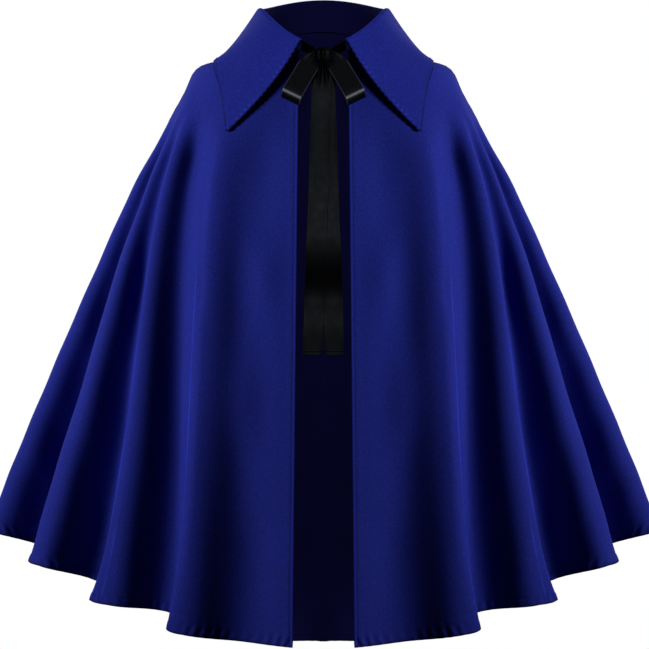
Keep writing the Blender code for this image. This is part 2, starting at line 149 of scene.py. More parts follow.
# Soft creases along the folds: place in fold lines at the top and the hem, stretch as shares of the cloth's
# length, half width, and height, which is below zero for a trough
CREASES = (
    (0.93, 0.93, 0.30, 0.86, 0.0220, 0.0046),
    (2.30, 2.22, 0.16, 0.52, 0.0090, -0.0020),
    (4.55, 4.40, 0.20, 0.48, 0.0070, -0.0016),
    (5.00, 4.95, 0.38, 1.02, 0.0090, -0.0026),
    (6.60, 6.45, 0.22, 0.60, 0.0080, -0.0018),
    (7.05, 7.10, 0.40, 1.02, 0.0090, -0.0030),
    (10.7, 10.9, 0.20, 0.55, 0.0080, -0.0018),
    (14.5, 14.7, 0.18, 0.50, 0.0090, -0.0018),
    (17.3, 17.2, 0.16, 0.58, 0.0100, -0.0016),
)
CREASE_WANDER = 0.35
CREASE_WANDER_TURNS = 9.0

# Sharp pressed lines that stay on one fold line: place, stretch and strength, which raises a ridge and is
# also a painted highlight along it; close columns follow them
PRESSED_LINES = (
    (2.38, 0.38, 1.06, 1.0),
    (4.08, 0.84, 1.04, 0.6),
    (4.25, 0.50, 1.06, 1.0),
    (6.25, 0.52, 1.04, 0.5),
    (8.05, 0.50, 1.02, 0.5),
    (10.05, 0.45, 1.02, 0.5),
    (11.75, 0.50, 1.05, 0.8),
    (13.75, 0.46, 1.05, 0.9),
    (15.70, 0.46, 1.05, 0.9),
)
PRESS_HALF_WIDTH = 0.0012
PRESS_HEIGHT = 0.0005
PRESS_STEPS = np.linspace(-0.036, 0.036, 7)
FRONT_EDGE_CURL = 0.0016
FRONT_CURL_WIDTH = 0.0090
# Painted highlight along the front edge, and a groove beside it with painted shade in it
FRONT_EDGE_HIGHLIGHT = 0.5
EDGE_HIGHLIGHT_DEPTH = 0.0013
EDGE_HIGHLIGHT_WIDTH = 0.0010
EDGE_GROOVE = 0.0003
EDGE_GROOVE_SHADE = 0.22
EDGE_GROOVE_DEPTH = 0.0036
EDGE_GROOVE_WIDTH = 0.0011
# Painted shade along the hem's edge, painted highlight and shade on the hem's puckers, and the gains of
# painted highlight and shade
HEM_SHADE = 0.9
HEM_SHADE_WIDTH = 0.0020
HEM_PUCKER_SHADING = 0.25
HEM_PUCKER_SHADING_DEPTH = 0.0060
HEM_PUCKER_SHADING_WIDTH = 0.0035
PAINTED_HIGHLIGHT_GAIN = 2.3
SHADED_GAIN = 0.15

# Sewn edges: strength of the stitched groove, and height, period and phase of the puckers
LEAF_PERIOD = 0.0078
SEWN_HEM = (1.0, 0.0008, 0.0120, 0.3)
SEWN_FRONT = (0.25, 0.00018, 0.0180, 1.1)
SEWN_COLLAR = (0.6, 0.00030, 0.0120, 2.2)
SEWN_LEAF = (0.8, 0.0007, LEAF_PERIOD, 0.6)
STITCH_GROOVE = 0.00045
STITCH_GROOVE_WIDTH = 0.0011
STITCH_SWELL = 0.00030
PUCKER_REACH = 1.7
PUCKER_SLANT = 0.4
STITCH_STATIONS = (-0.5, -0.3, 0.3, 0.5)
STITCH_RADII = (0.45, 1.0, 1.0, 0.45)
STITCH_LENGTH_SHARE = 0.78

# Slow waves of the hanging cloth: period across, period along, height and phase
DRAPE_WAVES = (
    (0.061, 0.630, 0.0003, 0.4),
    (0.087, -0.810, 0.0004, 2.1),
    (0.143, 0.750, 0.0005, 4.0),
    (0.230, -0.570, 0.0004, 5.3),
)

# Collar: a stand on the neck seam, a roll line and a fall whose outer edge lies on the form, moved out
ROLL_HALF_WIDTH = 0.0790
ROLL_FRONT_DEPTH = 0.0750
ROLL_BACK_DEPTH = 0.0780
ROLL_SIDE_HEIGHT = 0.0354
ROLL_FRONT_DROP = 0.0500
ROLL_BACK_RISE = 0.0180
ROLL_FRONT_ANGLE = 20.5
ROLL_RADIUS = 0.0040
ROLL_END_ANGLE = 40.0
COLLAR_LIFT = 0.0034
COLLAR_SEAM_GAP = 0.0010
STAND_SEAM = 0.0022
STAND_ROW_POWER = 1.5
PROBE_ANGLE = 0.5
PROBE_HEIGHT = 0.001
COLLAR_SAMPLES = 240
EDGE_COLUMNS = ("share", "angle", "height", "bow", "slide", "lean")
COLLAR_EDGE = (
    (0.000, 35.0, -0.1250, 0.0090, 0.0030, 0.0240),
    (0.150, 42.5, -0.0850, 0.0070, 0.0000, 0.0100),
    (0.260, 60.0, -0.0385, -0.0030, 0.0100, 0.0000),
    (0.350, 75.0, -0.0320, -0.0085, 0.0220, 0.0000),
    (0.436, 90.0, -0.0305, -0.0105, 0.0270, 0.0000),
    (0.720, 135.0, -0.0240, -0.0060, 0.0140, 0.0000),
    (1.000, 180.0, -0.0120, 0.0100, 0.0000, 0.0000),
)
COLLAR_STRIP_SHARE = 0.05
COLLAR_STRIP_COLUMNS = 18
COLLAR_COLUMNS = 84
STAND_ROWS = 14
ROLL_ROWS = 14
FALL_ROWS = 96
FALL_EDGE_ROWS = 22
FALL_EDGE_SHARE = 0.93
COLLAR_SOFTENING = 6
# Share of the roll in the inside's near-black navy, painted shade
PAINTED_SHADE_ROLL_SHARE = 0.45
LEAF_SCALLOP = 0.0006
LEAF_SCALLOP_WIDTH = 0.004
LEAF_SCALLOP_PHASE = 2.0
LEAF_ROWS_LEFT_OUT = 8
# Painted shade along the collar's outer edge and the leaf's front edge, and painted highlights on the leaf's
# puckers
COLLAR_SHADE = 0.9
COLLAR_SHADE_WIDTH = 0.0016
LEAF_SHADE = 0.7
LEAF_SHADE_WIDTH = 0.0018
LEAF_PUCKER_HIGHLIGHTS = 0.9
LEAF_HIGHLIGHT_DEPTH = 0.0024
LEAF_HIGHLIGHT_WIDTH = 0.0017

# Ribbon bow: paths of the ribbon's middle on the wearer's left, as side, depth and height
GATHERED_WIDTH = 0.0120
KNOT_HALF_SIZE = (0.0100, 0.0075, 0.0100)
KNOT_CENTRE = (0.0, -0.0835, -0.0300)
KNOT_ROWS = 41
KNOT_COLUMNS = 64
KNOT_SQUARENESS = 4
KNOT_DRAWN_IN = 0.30
KNOT_GATHER = 0.055
LOOP_ROWS = 121
LOOP_PLEAT = 0.0006
LOOP_TURN_SHARE = 0.10
LOOP_FULL_SHARE = 0.12
LOOP_SLANT = 26.0
LOOP_PATH = (
    (0.0108, -0.0870, -0.0290),
    (0.0165, -0.0945, -0.0400),
    (0.0275, -0.1058, -0.0590),
    (0.0352, -0.1140, -0.0726),
    (0.0385, -0.1165, -0.0790),
    (0.0401, -0.1143, -0.0847),
    (0.0405, -0.1080, -0.0875),
    (0.0398, -0.1018, -0.0845),
    (0.0375, -0.0994, -0.0780),
    (0.0285, -0.0970, -0.0600),
    (0.0175, -0.0905, -0.0405),
    (0.0108, -0.0825, -0.0290),
)
TAIL_ROWS = 150
TAIL_END_SHARE = 0.96
TAIL_END_ROWS = 31
TAIL_FULL_SHARE = 0.05
TAIL_OPEN_SHARE = 0.11
TAIL_LAYER = 0.0032
TAIL_TAPER = 0.0015
TAIL_TAPER_FROM = 0.80
TAIL_HEM = 0.0050
TAIL_HEM_HEIGHT = 0.0006
TAIL_HEM_EDGE = 0.0008
TAIL_CORNER = 0.0045
TAIL_PLEAT = 0.0007
TAIL_WAVE = 0.0005
TAIL_WAVE_COUNT = 2.7
TAIL_WAVE_PHASE = 0.5
TAIL_PATH = (
    (0.0015, -0.0850, -0.0405),
    (0.0025, -0.0905, -0.0700),
    (0.0030, -0.0960, -0.1000),
    (0.0042, -0.1057, -0.1500),
    (0.0062, -0.1151, -0.2000),
    (0.0074, -0.1201, -0.2300),
    (0.0086, -0.1244, -0.2600),
    (0.0096, -0.1259, -0.2850),
    (0.0107, -0.1246, -0.3170),
    (0.0116, -0.1263, -0.3390),
    (0.0124, -0.1301, -0.3657),
    (0.0134, -0.1335, -0.3960),
)
LEAD_KNOT_DEPTH = -0.0778
LEAD_KNOT_HEIGHT = -0.0260
LEAD_KNOT_GAP = 0.0004
LEAD_INSET = 0.0016
LEAD_ROWS = 25
LEAD_PLEAT = 0.0005
RIBBON_COLUMNS = 21
RIBBON_BEAD = 0.00012
RIBBON_BEAD_WIDTH = 0.0007
PLEAT_COUNT = 2.5
PLEAT_PHASE = 0.6
# Painted highlight along the satin's edges: width, fade and gain of the pale colour
SELVEDGE_HIGHLIGHT_WIDTH = 0.0009
SELVEDGE_HIGHLIGHT_FADE = 0.0004
SELVEDGE_HIGHLIGHT_GAIN = 14.0

# Finishes: scales of the noises, in waves a metre
NAP_SCALE = 420.0
FUZZ_SCALE = 1500.0
DYE_CLOUD_SCALE = 11.0
SLUB_SCALES = (330.0, 150.0, 1.0)
SATIN_SCALES = (2600.0, 70.0, 1.0)
SATIN_CLOUD_SCALE = 110.0
PLY_SCALE = 2400.0
SATIN_SPECULAR_TINT = (0.78, 0.86, 1.0, 1.0)

# Studio: the photograph is 649 pixels square and 1.25 mm of the cape's middle falls on a pixel
IMAGE_PIXELS = 649
PIXEL_SIZE = 0.00125
AXIS_PIXEL = 323.5
SENSOR_WIDTH = 36.0
FLOOR_REACH = 9.0
FLOOR_STEPS = 25
FLOOR_FADE_FROM = 2.5
FLOOR_FADE_WITHIN = 3.5
FLOOR_GRAIN_SCALE = 6.0
FLOOR_COLOURS = ((0.78, 0.78, 0.79, 1.0), (0.84, 0.84, 0.85, 1.0))
SIDED_PIECES = ("cape_front", "hem_stitches", "front_stitches")

# Lights: place, point that they face, size of the square and spread in degrees; pairs are mirrored
CAPE_MIDDLE = (0.0, 0.0, -0.359)
LIGHTS = {
    "side": ((3.6, -1.1, 0.25), (0.1, -0.1, -0.03), 1.0, 40.0),
    "back": ((1.75, 1.9, 0.85), CAPE_MIDDLE, 1.2, 180.0),
    "rear": ((3.0, 1.4, 0.6), CAPE_MIDDLE, 1.0, 180.0),
    "floor": ((0.0, 0.0, 4.0), CAPE_MIDDLE, 7.0, 180.0),
    "front": ((0.0, -3.4, 0.93), CAPE_MIDDLE, 0.6, 180.0),
    "ribbon": ((0.0, -3.4, 0.93), CAPE_MIDDLE, 0.6, 180.0),
    "bow": ((0.0, -3.2, 0.35), (0.0, -0.1, -0.08), 0.8, 60.0),
}
BOW_LIGHT_HEIGHT = 2.0


class CapeClothSettings(bpy.types.PropertyGroup):
    """Sizes and colours of the cape's cloth and its sewing."""

    thickness: bpy.props.FloatProperty(
        name="Cloth thickness", description="Thickness of the panels", default=0.0018, unit="LENGTH"
    )
    collar_thickness: bpy.props.FloatProperty(
        name="Collar thickness", description="Thickness of both layers", default=0.0022, unit="LENGTH"
    )
    hem_depth: bpy.props.FloatProperty(
        name="Hem depth", description="From the hem's edge to its stitches", default=0.0100, unit="LENGTH"
    )
    edge_depth: bpy.props.FloatProperty(
        name="Edge depth", description="From the other edges to their stitches", default=0.0060, unit="LENGTH"
    )
    stitch_pitch: bpy.props.FloatProperty(
        name="Stitch pitch", description="From one stitch to the next", default=0.0032, unit="LENGTH"
    )
    thread_radius: bpy.props.FloatProperty(
        name="Thread radius", description="Half the thread's thickness", default=0.00026, unit="LENGTH"
    )
    twill_pitch: bpy.props.FloatProperty(
        name="Twill pitch", description="From one twill line to the next", default=0.0013, unit="LENGTH"
    )
    cloth_colour: bpy.props.FloatVectorProperty(
        name="Cloth colour",
        description="Royal blue of the cape's right side",
        default=(0.0128, 0.0215, 0.2750),
        subtype="COLOR",
        size=3,
    )
    # Painted shade: the inside is the same cloth, given near-black navy for the shade it lies in
    inside_shade_colour: bpy.props.FloatVectorProperty(
        name="Reverse colour",
        description="Near-black navy of the inside",
        default=(0.0033, 0.0030, 0.0300),
        subtype="COLOR",
        size=3,
    )
    thread_colour: bpy.props.FloatVectorProperty(
        name="Thread colour",
        description="Blue of the sewing thread",
        default=(0.0120, 0.0190, 0.3000),
        subtype="COLOR",
        size=3,
    )


class CapeTieSettings(bpy.types.PropertyGroup):
    """Sizes and colour of the satin ribbon."""

    ribbon_width: bpy.props.FloatProperty(
        name="Ribbon width", description="Width of the satin ribbon", default=0.0250, unit="LENGTH"
    )
    ribbon_thickness: bpy.props.FloatProperty(
        name="Ribbon thickness", description="Thickness of the ribbon", default=0.0006, unit="LENGTH"
    )
    ribbon_colour: bpy.props.FloatVectorProperty(
        name="Ribbon colour",
        description="Black of the satin",
        default=(0.0013, 0.0014, 0.0017),
        subtype="COLOR",
        size=3,
    )


class CapeStageSettings(bpy.types.PropertyGroup):
    """Camera, lights and floor of the studio."""

    camera_distance: bpy.props.FloatProperty(
        name="Camera distance", description="From the neck to the camera", default=4.0, unit="LENGTH"
    )
    camera_height: bpy.props.FloatProperty(
        name="Camera height", description="Height of the level camera", default=-0.359, unit="LENGTH"
    )
    floor_height: bpy.props.FloatProperty(
        name="Floor height", description="Floor under a wearer's feet", default=-1.42, unit="LENGTH"
    )
    side_power: bpy.props.FloatProperty(
        name="Side light", description="Power of each side light", default=7.6, unit="POWER"
    )
    front_power: bpy.props.FloatProperty(
        name="Front light", description="Power of the light on collar and inside", default=84.0, unit="POWER"
    )
    ribbon_power: bpy.props.FloatProperty(
        name="Ribbon light", description="Power of the light on the ribbon", default=9.0, unit="POWER"
    )
    bow_power: bpy.props.FloatProperty(
        name="Bow light", description="Power of the light on the bow's loops", default=18.0, unit="POWER"
    )
    back_power: bpy.props.FloatProperty(
        name="Back light", description="Power of each light behind the cape", default=16.0, unit="POWER"
    )
    rear_power: bpy.props.FloatProperty(
        name="Rear light", description="Power of each light across the back", default=60.0, unit="POWER"
    )
    floor_power: bpy.props.FloatProperty(
        name="Floor light", description="Power of the floor's own light", default=420.0, unit="POWER"
    )
    ambient: bpy.props.FloatProperty(
        name="Ambient light", description="Strength of the room's even light", default=0.012
    )


# Curves and grids


def unit(vectors):
    return vectors / np.linalg.norm(vectors, axis=-1, keepdims=True)


def soft_step(t):
    """0 below 0, 1 above 1 and 3t^2 - 2t^3 between."""
    t = np.clip(t, 0.0, 1.0)
    return t * t * (3 - 2 * t)


def bell(distance, width):
    """A hump of height one: exp(-(distance / width)^2)."""
    return np.exp(-((distance / width) ** 2))


def uneven_wave(place, period, phase):
    """A sine whose phase and height drift at periods that share no multiple, so that it never repeats."""
    drift = 1.3 * np.sin(place / (0.61 * period) / 4 + phase) + 0.9 * np.sin(place / period / 1.7 + 2 * phase)
    height = 0.60 + 0.40 * np.sin(place / (0.43 * period) / 3 + 1.7 * phase)
    return height * np.sin(TAU * place / period + drift)


def columns_of(names, table):
    """The table's columns as arrays, by name."""
    return {name: np.array(column) for name, column in zip(names, zip(*table))}


def smooth_through(xs, ys):
    """A monotone cubic through the points: harmonic mean slopes, Hermite blends between."""
    widths = np.diff(xs)
    slopes = np.diff(ys) / widths
    product = slopes[:-1] * slopes[1:]
    same_way = product > 0
    inner = np.where(same_way, 2 * product / np.where(same_way, slopes[:-1] + slopes[1:], 1.0), 0.0)
    tangents = np.concatenate([slopes[:1], inner, slopes[-1:]])

    def value(x):
        x = np.clip(x, xs[0], xs[-1])
        i = np.clip(np.searchsorted(xs, x, side="right") - 1, 0, len(widths) - 1)
        width = widths[i]
        t = (x - xs[i]) / width
        return (
            (1 + 2 * t) * (1 - t) ** 2 * ys[i]
            + t * (1 - t) ** 2 * width * tangents[i]
            + t * t * (3 - 2 * t) * ys[i + 1]
            - t * t * (1 - t) * width * tangents[i + 1]
        )

    return value


def spline_through(points, shares):
    """Catmull-Rom curve through the points, read at shares of its parameter from 0 to 1."""
    padded = np.concatenate([2 * points[:1] - points[1:2], points, 2 * points[-1:] - points[-2:-1]])
    at = np.clip(shares, 0.0, 1.0 - 1e-9) * (len(points) - 1)
    i = at.astype(int)
    t = (at - i)[:, None]
    a, b, c, d = (padded[i + n] for n in range(4))
    return 0.5 * (
        2 * b + (c - a) * t + (2 * a - 5 * b + 4 * c - d) * t**2 + (3 * b - a - 3 * c + d) * t**3
    )


def travel(points, axis=0):
    """Length of cloth from the grid's first row or column to each point."""
    steps = np.linalg.norm(np.diff(points, axis=axis), axis=-1)
    start = np.zeros_like(np.take(steps, [0], axis=axis))
    return np.concatenate([start, np.cumsum(steps, axis=axis)], axis=axis)


def read_along(places, lengths, points):
    """Points of a line at places counted along its length."""
    return np.stack([np.interp(places, lengths, points[:, k]) for k in range(3)], axis=-1)


def interp_columns(wanted, known, values):
    """Each column's values at its own wanted places: the columns are laid end to end for one reading."""
    total = known[-1]
    order = 2.0 * np.arange(known.shape[1])
    return np.interp(wanted / total + order, (known / total + order).T.ravel(), values.T.ravel())


def grid_normals(points):
    """Unit normals of a grid: cross product of the step down and the step along."""
    return unit(np.cross(np.gradient(points, axis=0), np.gradient(points, axis=1)))


def line_at(level, distance, points):
    """Where a distance that grows down the grid's rows reaches the level, in each column."""
    before = np.clip((distance < level).sum(axis=0) - 1, 0, len(distance) - 2)[None, :]
    low, high = (np.take_along_axis(distance, before + n, axis=0)[0] for n in (0, 1))
    first, last = (np.take_along_axis(points, (before + n)[..., None], axis=0)[0] for n in (0, 1))
    return first + (last - first) * ((level - low) / (high - low))[:, None]


# The cape's surface

FORM = columns_of(FORM_COLUMNS, sorted(FORM_RINGS))
HALF_WIDTH, FRONT_DEPTH, BACK_DEPTH = (
    smooth_through(FORM["height"], FORM[column]) for column in FORM_COLUMNS[1:]
)
FOLD = columns_of(FOLD_COLUMNS, FOLD_LINES)
BACK_LINE = len(FOLD_LINES) - 1
HEM_HEIGHT = smooth_through(np.arange(BACK_LINE + 1.0), FOLD["hem_height"])


def ring_point(angle, height, inward=0.0):
    """A level ellipse at each height: (width sin a, -depth cos a, height), with its own depth before and
    behind, moved inward along the ellipse's normal."""
    angle, height, inward = np.broadcast_arrays(np.radians(angle), height, inward)
    width = HALF_WIDTH(height)
    depth = np.where(np.cos(angle) > 0, FRONT_DEPTH(height), BACK_DEPTH(height))
    point = np.stack([width * np.sin(angle), -depth * np.cos(angle), height], axis=-1)
    outward = np.stack([np.sin(angle) / width, -np.cos(angle) / depth, 0 * angle], axis=-1)
    return point - inward[..., None] * unit(outward)


def neck_height(angle):
    """The neck seam drops by the fifth power of the cosine in front and climbs by the third behind."""
    c = np.cos(np.radians(angle))
    return np.where(c > 0, -NECK_FRONT_DROP * np.maximum(c, 0) ** 5, NECK_BACK_RISE * np.maximum(-c, 0) ** 3)


def line_share(number, height):
    """How far down a fold line a height is: 0 at the shoulder, 1 at the hem."""
    share = (FOLDS_SPREAD_FROM - height) / (FOLDS_SPREAD_FROM - FOLD["hem_height"][number])
    return np.clip(share, 0.0, 1.0)


def line_angle(number, height):
    """Angle of a fold line: it runs from its upper to its hem angle by the square of the way left; the
    front edge instead keeps a set distance from the centre."""
    left = (1 - line_share(number, height)) ** 2
    hem_angle = FOLD["hem_angle"][number]
    spread = hem_angle + (FOLD["upper_angle"][number] - hem_angle) * left
    drop = np.clip((height - neck_height(FOLD["upper_angle"][0])) / FOLD["hem_height"][0], 0.0, 1.0)
    gap = FRONT_GAP_TOP + (FRONT_GAP_HEM - FRONT_GAP_TOP) * drop
    return np.where(number == 0, np.degrees(np.arcsin(gap / HALF_WIDTH(height))), spread)


def opened(height):
    """How far the folds have opened: 0 at the shoulder, 1 a little below it."""
    return soft_step((FOLDS_START - height) / FOLDS_OPEN_WITHIN)


def line_depth(number, height):
    """How far inside the form a fold line lies: from its upper to its hem depth, with a soft start."""
    upper, hem = FOLD["upper_depth"][number], FOLD["hem_depth"][number]
    return opened(height) * (upper + (hem - upper) * line_share(number, height))


def fold_place(line, height):
    """Angle and inward depth between two fold lines: the angle swings by a sine, which rounds the fold or
    makes it overhang, and the depth goes from one line's to the next by a cosine."""
    line, height = np.broadcast_arrays(line, height)
    number = np.minimum(line.astype(int), BACK_LINE - 1)
    share = line - number
    first, last = line_angle(number, height), line_angle(number + 1, height)
    overhang = FOLD["overhang"][number] * line_share(number, height) ** OVERHANG_POWER
    swing = opened(height) * (FOLD["bulge"][number] + overhang)
    angle = first + (last - first) * (share + swing * np.sin(TAU * share))
    depths = [line_depth(number + n, height) for n in (0, 1)]
    return angle, depths[0] + (depths[1] - depths[0]) * (1 - np.cos(math.pi * share)) / 2


def cloth_point(line, height):
    """The folded cape: the form's ring, moved to the fold's angle and inward by its depth."""
    angle, inward = fold_place(line, height)
    return ring_point(angle, height, inward)


def neck_top(line):
    """Height of the neck seam at a place between fold lines, closed in on step by step."""
    height = np.full(np.shape(line), -NECK_FRONT_DROP)
    for _ in range(NECK_STEPS):
        height = neck_height(fold_place(line, height)[0])
    return height


def panel_heights(lines):
    """Heights of a panel's rows: even steps of cloth length down to the hem strip, then close ones."""
    top, hem = neck_top(lines), HEM_HEIGHT(lines)
    heights = top + (hem - top) * ((np.arange(MERIDIAN_SAMPLES + 1) / MERIDIAN_SAMPLES) ** 2)[:, None]
    walk = travel(ring_point(fold_place(lines, top)[0], heights))
    above = np.linspace(0.0, 1.0, PANEL_ROWS)[:, None] * (walk[-1] - EDGE_STRIP)
    strip = walk[-1] - np.linspace(EDGE_STRIP, 0.0, EDGE_STRIP_STEPS + 1)[1:, None]
    return interp_columns(np.concatenate([above, strip]), walk, heights)


def soft_ends(way, first, last):
    """Rises over a stretch's first part and falls over its last; each part is one over its value long."""
    return soft_step(way * first) * soft_step((1 - way) * last)


def uneven_height(way, share, turns, phase):
    """A height near one that falls by up to twice the share: 1 - share + share sin(turns way + phase)."""
    return 1 - share + share * np.sin(turns * way + phase)


def crease_relief(line, share, along):
    """Ridges and troughs that run down the cloth: each a bell of the cloth length from its place, with soft
    ends and an uneven height."""
    relief = np.zeros_like(line)
    for n, (top_line, hem_line, start, end, half_width, height) in enumerate(CREASES):
        if not line.min() < top_line < line.max():
            continue
        way = np.clip((share - start) / (end - start), 0.0, 1.0)
        place = top_line + (hem_line - top_line) * way
        across = along - interp_columns(place.T, line.T, along.T).T
        across += CREASE_WANDER * half_width * np.sin(CREASE_WANDER_TURNS * way + n)
        uneven = soft_ends(way, 5, 5) * uneven_height(way, 0.25, 14.0, 2.0 * n)
        relief += height * uneven * bell(across, half_width)
    return relief


def pressed_lines_and_highlight(line, share, metres_per_line):
    """How strongly the cloth is pressed: a narrow bell across each pressed line, with soft uneven ends. The
    same strength raises the lines' ridges and is their painted highlight.
    """
    marks = np.zeros_like(line)
    for n, (place, start, end, strength) in enumerate(PRESSED_LINES):
        way = np.clip((share - start) / (end - start), 0.0, 1.0)
        uneven = soft_ends(way, 4, 8) * uneven_height(way, 0.30, 17.0, 2.3 * n)
        marks += strength * uneven * bell((line - place) * metres_per_line, PRESS_HALF_WIDTH)
    return marks


def crowded(lines):
    """Adds close columns beside each pressed line and drops the even ones that they replace."""
    pressed = np.array([row[0] for row in PRESSED_LINES])
    pressed = pressed[(pressed > lines[0]) & (pressed < lines[-1])]
    apart = np.abs(lines[:, None] - pressed).min(axis=1) > 1.2 * PRESS_STEPS[-1]
    return np.sort(np.concatenate([lines[apart], (pressed[:, None] + PRESS_STEPS).ravel()]))


def drape_relief(across, along):
    """The hanging cloth's slow waves: a sum of plane waves in cloth length."""
    relief = np.zeros_like(across)
    for across_period, along_period, height, phase in DRAPE_WAVES:
        relief += height * np.sin(TAU * (across / across_period + along / along_period) + phase)
    return relief


def pucker_wave(distance, along, edge):
    """The uneven wave of a sewn edge's puckers, which slant away from it."""
    period, phase = edge[2:]
    return uneven_wave(along + PUCKER_SLANT * distance, period, phase)


def edge_relief(distance, along, depth, edge):
    """A stitched edge: a groove at the stitches and a slight swell outside it, as strong as it is sewn, and
    puckers that die out just past the stitches."""
    sewn, pucker = edge[:2]
    groove = -STITCH_GROOVE * bell(distance - depth, STITCH_GROOVE_WIDTH)
    swell = STITCH_SWELL * np.sin(math.pi * np.clip(distance / depth, 0.0, 1.0))
    reach = soft_step((PUCKER_REACH * depth - distance) / depth)
    return sewn * (groove + swell) + pucker * reach * pucker_wave(distance, along, edge)


def seam_relief(distance, along):
    """A sewn seam: the cloth swells beside it, with slight puckers."""
    height = SEAM_SWELL + SEAM_PUCKER * uneven_wave(along, SEAM_PERIOD, SEAM_PHASE)
    return height * bell(distance - SEAM_SWELL_DEPTH, SEAM_SWELL_WIDTH)


def seam_shift(heights, way):
    """Half the side seam's gap as a part of a fold's width, forward for a way of -1 and back for 1."""
    seam = cloth_point(SIDE_SEAM_PLACE, heights)
    beside = cloth_point(SIDE_SEAM_PLACE + way * SEAM_PROBE, heights)
    fold_width = np.linalg.norm(seam - beside, axis=-1) / SEAM_PROBE
    return way * SIDE_SEAM_GAP / 2 / fold_width


def dressed(points, relief):
    """The grid's points moved along its normals by the relief."""
    return points + relief[..., None] * grid_normals(points)


def front_surface(cloth):
    """Half the front on the wearer's left, from the front edge to the side seam. Close columns follow the
    front edge at set distances; the rest are evenly spaced between fold lines."""
    strip = np.linspace(0.0, EDGE_STRIP, EDGE_STRIP_STEPS + 1)
    rest = np.linspace(0.0, 1.0, FRONT_FOLD_COLUMNS + 1)[1:]
    count = round((SIDE_SEAM_PLACE - 1) * FRONT_FOLD_COLUMNS)
    folds = crowded(np.linspace(1.0, SIDE_SEAM_PLACE, count + 1)[1:])
    strip_lines = strip / TYPICAL_FOLD_WIDTH
    lines = np.concatenate([strip_lines, strip_lines[-1] + (1 - strip_lines[-1]) * rest, folds])
    heights = panel_heights(lines)
    first_fold = np.linalg.norm(cloth_point(1.0, heights[:, 0]) - cloth_point(0.0, heights[:, 0]), axis=-1)
    strip_at = strip / np.maximum(first_fold, 2 * EDGE_STRIP)[:, None]
    end = strip_at[:, -1:]
    line = np.concatenate([strip_at, end + (1 - end) * rest, np.tile(folds, (len(heights), 1))], axis=1)
    line[:, -1] += seam_shift(heights[:, -1], -1)
    return panel_surface(cloth, line, heights, front=True)


def back_surface(cloth):
    """Half the back on the wearer's left, from the side seam to the centre back."""
    count = round((BACK_LINE - SIDE_SEAM_PLACE) * BACK_FOLD_COLUMNS)
    lines = crowded(np.linspace(SIDE_SEAM_PLACE, BACK_LINE, count + 1))
    heights = panel_heights(lines)
    line = np.tile(lines, (len(heights), 1))
    line[:, 0] += seam_shift(heights[:, 0], 1)
    return panel_surface(cloth, line, heights, front=False)


def panel_surface(cloth, line, heights, front):
    """The folded form with its relief along the normal: creases, slow waves, hem, edge and seam."""
    points = cloth_point(line, heights)
    down, along = travel(points, 0), travel(points, 1)
    share = down / down[-1]
    metres_per_line = np.gradient(along, axis=1) / np.gradient(line, axis=1)
    hem = down[-1] - down
    # Strength of the pressed lines: it raises their ridges, and the same strength is their painted highlight
    # in the colour
    press = pressed_lines_and_highlight(line, share, metres_per_line)
    relief = crease_relief(line, share, along) + PRESS_HEIGHT * press
    relief += drape_relief(along, down) * soft_step(share * 4)
    relief += edge_relief(hem, along, cloth.hem_depth, SEWN_HEM)
    if front:
        relief += edge_relief(along, down, cloth.edge_depth, SEWN_FRONT)
        relief += FRONT_EDGE_CURL * bell(along, FRONT_CURL_WIDTH)
        groove = bell(along - EDGE_GROOVE_DEPTH, EDGE_GROOVE_WIDTH)
        relief -= EDGE_GROOVE * groove
        # Painted highlight along the front edge, and painted shade in the groove beside it
        press += FRONT_EDGE_HIGHLIGHT * bell(along - EDGE_HIGHLIGHT_DEPTH, EDGE_HIGHLIGHT_WIDTH)
        press -= EDGE_GROOVE_SHADE * groove
    from_seam = along[:, -1:] - along if front else along
    relief = (relief + seam_relief(from_seam, down)) * soft_step(from_seam / SIDE_SEAM_FLAT)
    # Painted highlight and shade on the hem's puckers, and painted shade along the hem's edge
    press += HEM_PUCKER_SHADING * pucker_wave(hem, along, SEWN_HEM) * bell(hem - HEM_PUCKER_SHADING_DEPTH, HEM_PUCKER_SHADING_WIDTH)
    press -= HEM_SHADE * bell(hem, HEM_SHADE_WIDTH)
    made = dressed(points, relief)
    uv = np.stack([along, -down], axis=-1)
    return {"points": made, "uv": uv, "press": press, "down": down, "along": along}


def sector_cut(surface, mirrored):
    """Flat cut of a flared panel: the ring sector that has the panel's neck, hem and middle length. Returns
    its width, its length and its area."""
    halves = 2 if mirrored else 1
    neck, hem = (halves * surface["along"][row, -1] for row in (0, -1))
    length = float(np.mean(surface["down"][-1]))
    inner = length * neck / (hem - neck)
    half_angle = hem / (inner + length) / 2
    width = 2 * (inner + length) * math.sin(half_angle)
    depth = inner + length - inner * math.cos(half_angle)
    return float(width), float(depth), float((neck + hem) / 2 * length)


# The collar's surface


def neck_line(share):
    """Neck seam at shares of its length from front to back, and the way the cape's cloth runs up to it."""
    start = line_angle(np.array(0), neck_top(np.array(0.0)))
    angles = start + (180 - start) * np.arange(COLLAR_SAMPLES + 1) / COLLAR_SAMPLES
    lengths = travel(ring_point(angles, neck_height(angles)))
    angle = smooth_through(lengths / lengths[-1], angles)(share)
    height = neck_height(angle)
    point = ring_point(angle, height)
    return point, unit(point - ring_point(angle, height - STAND_SEAM))


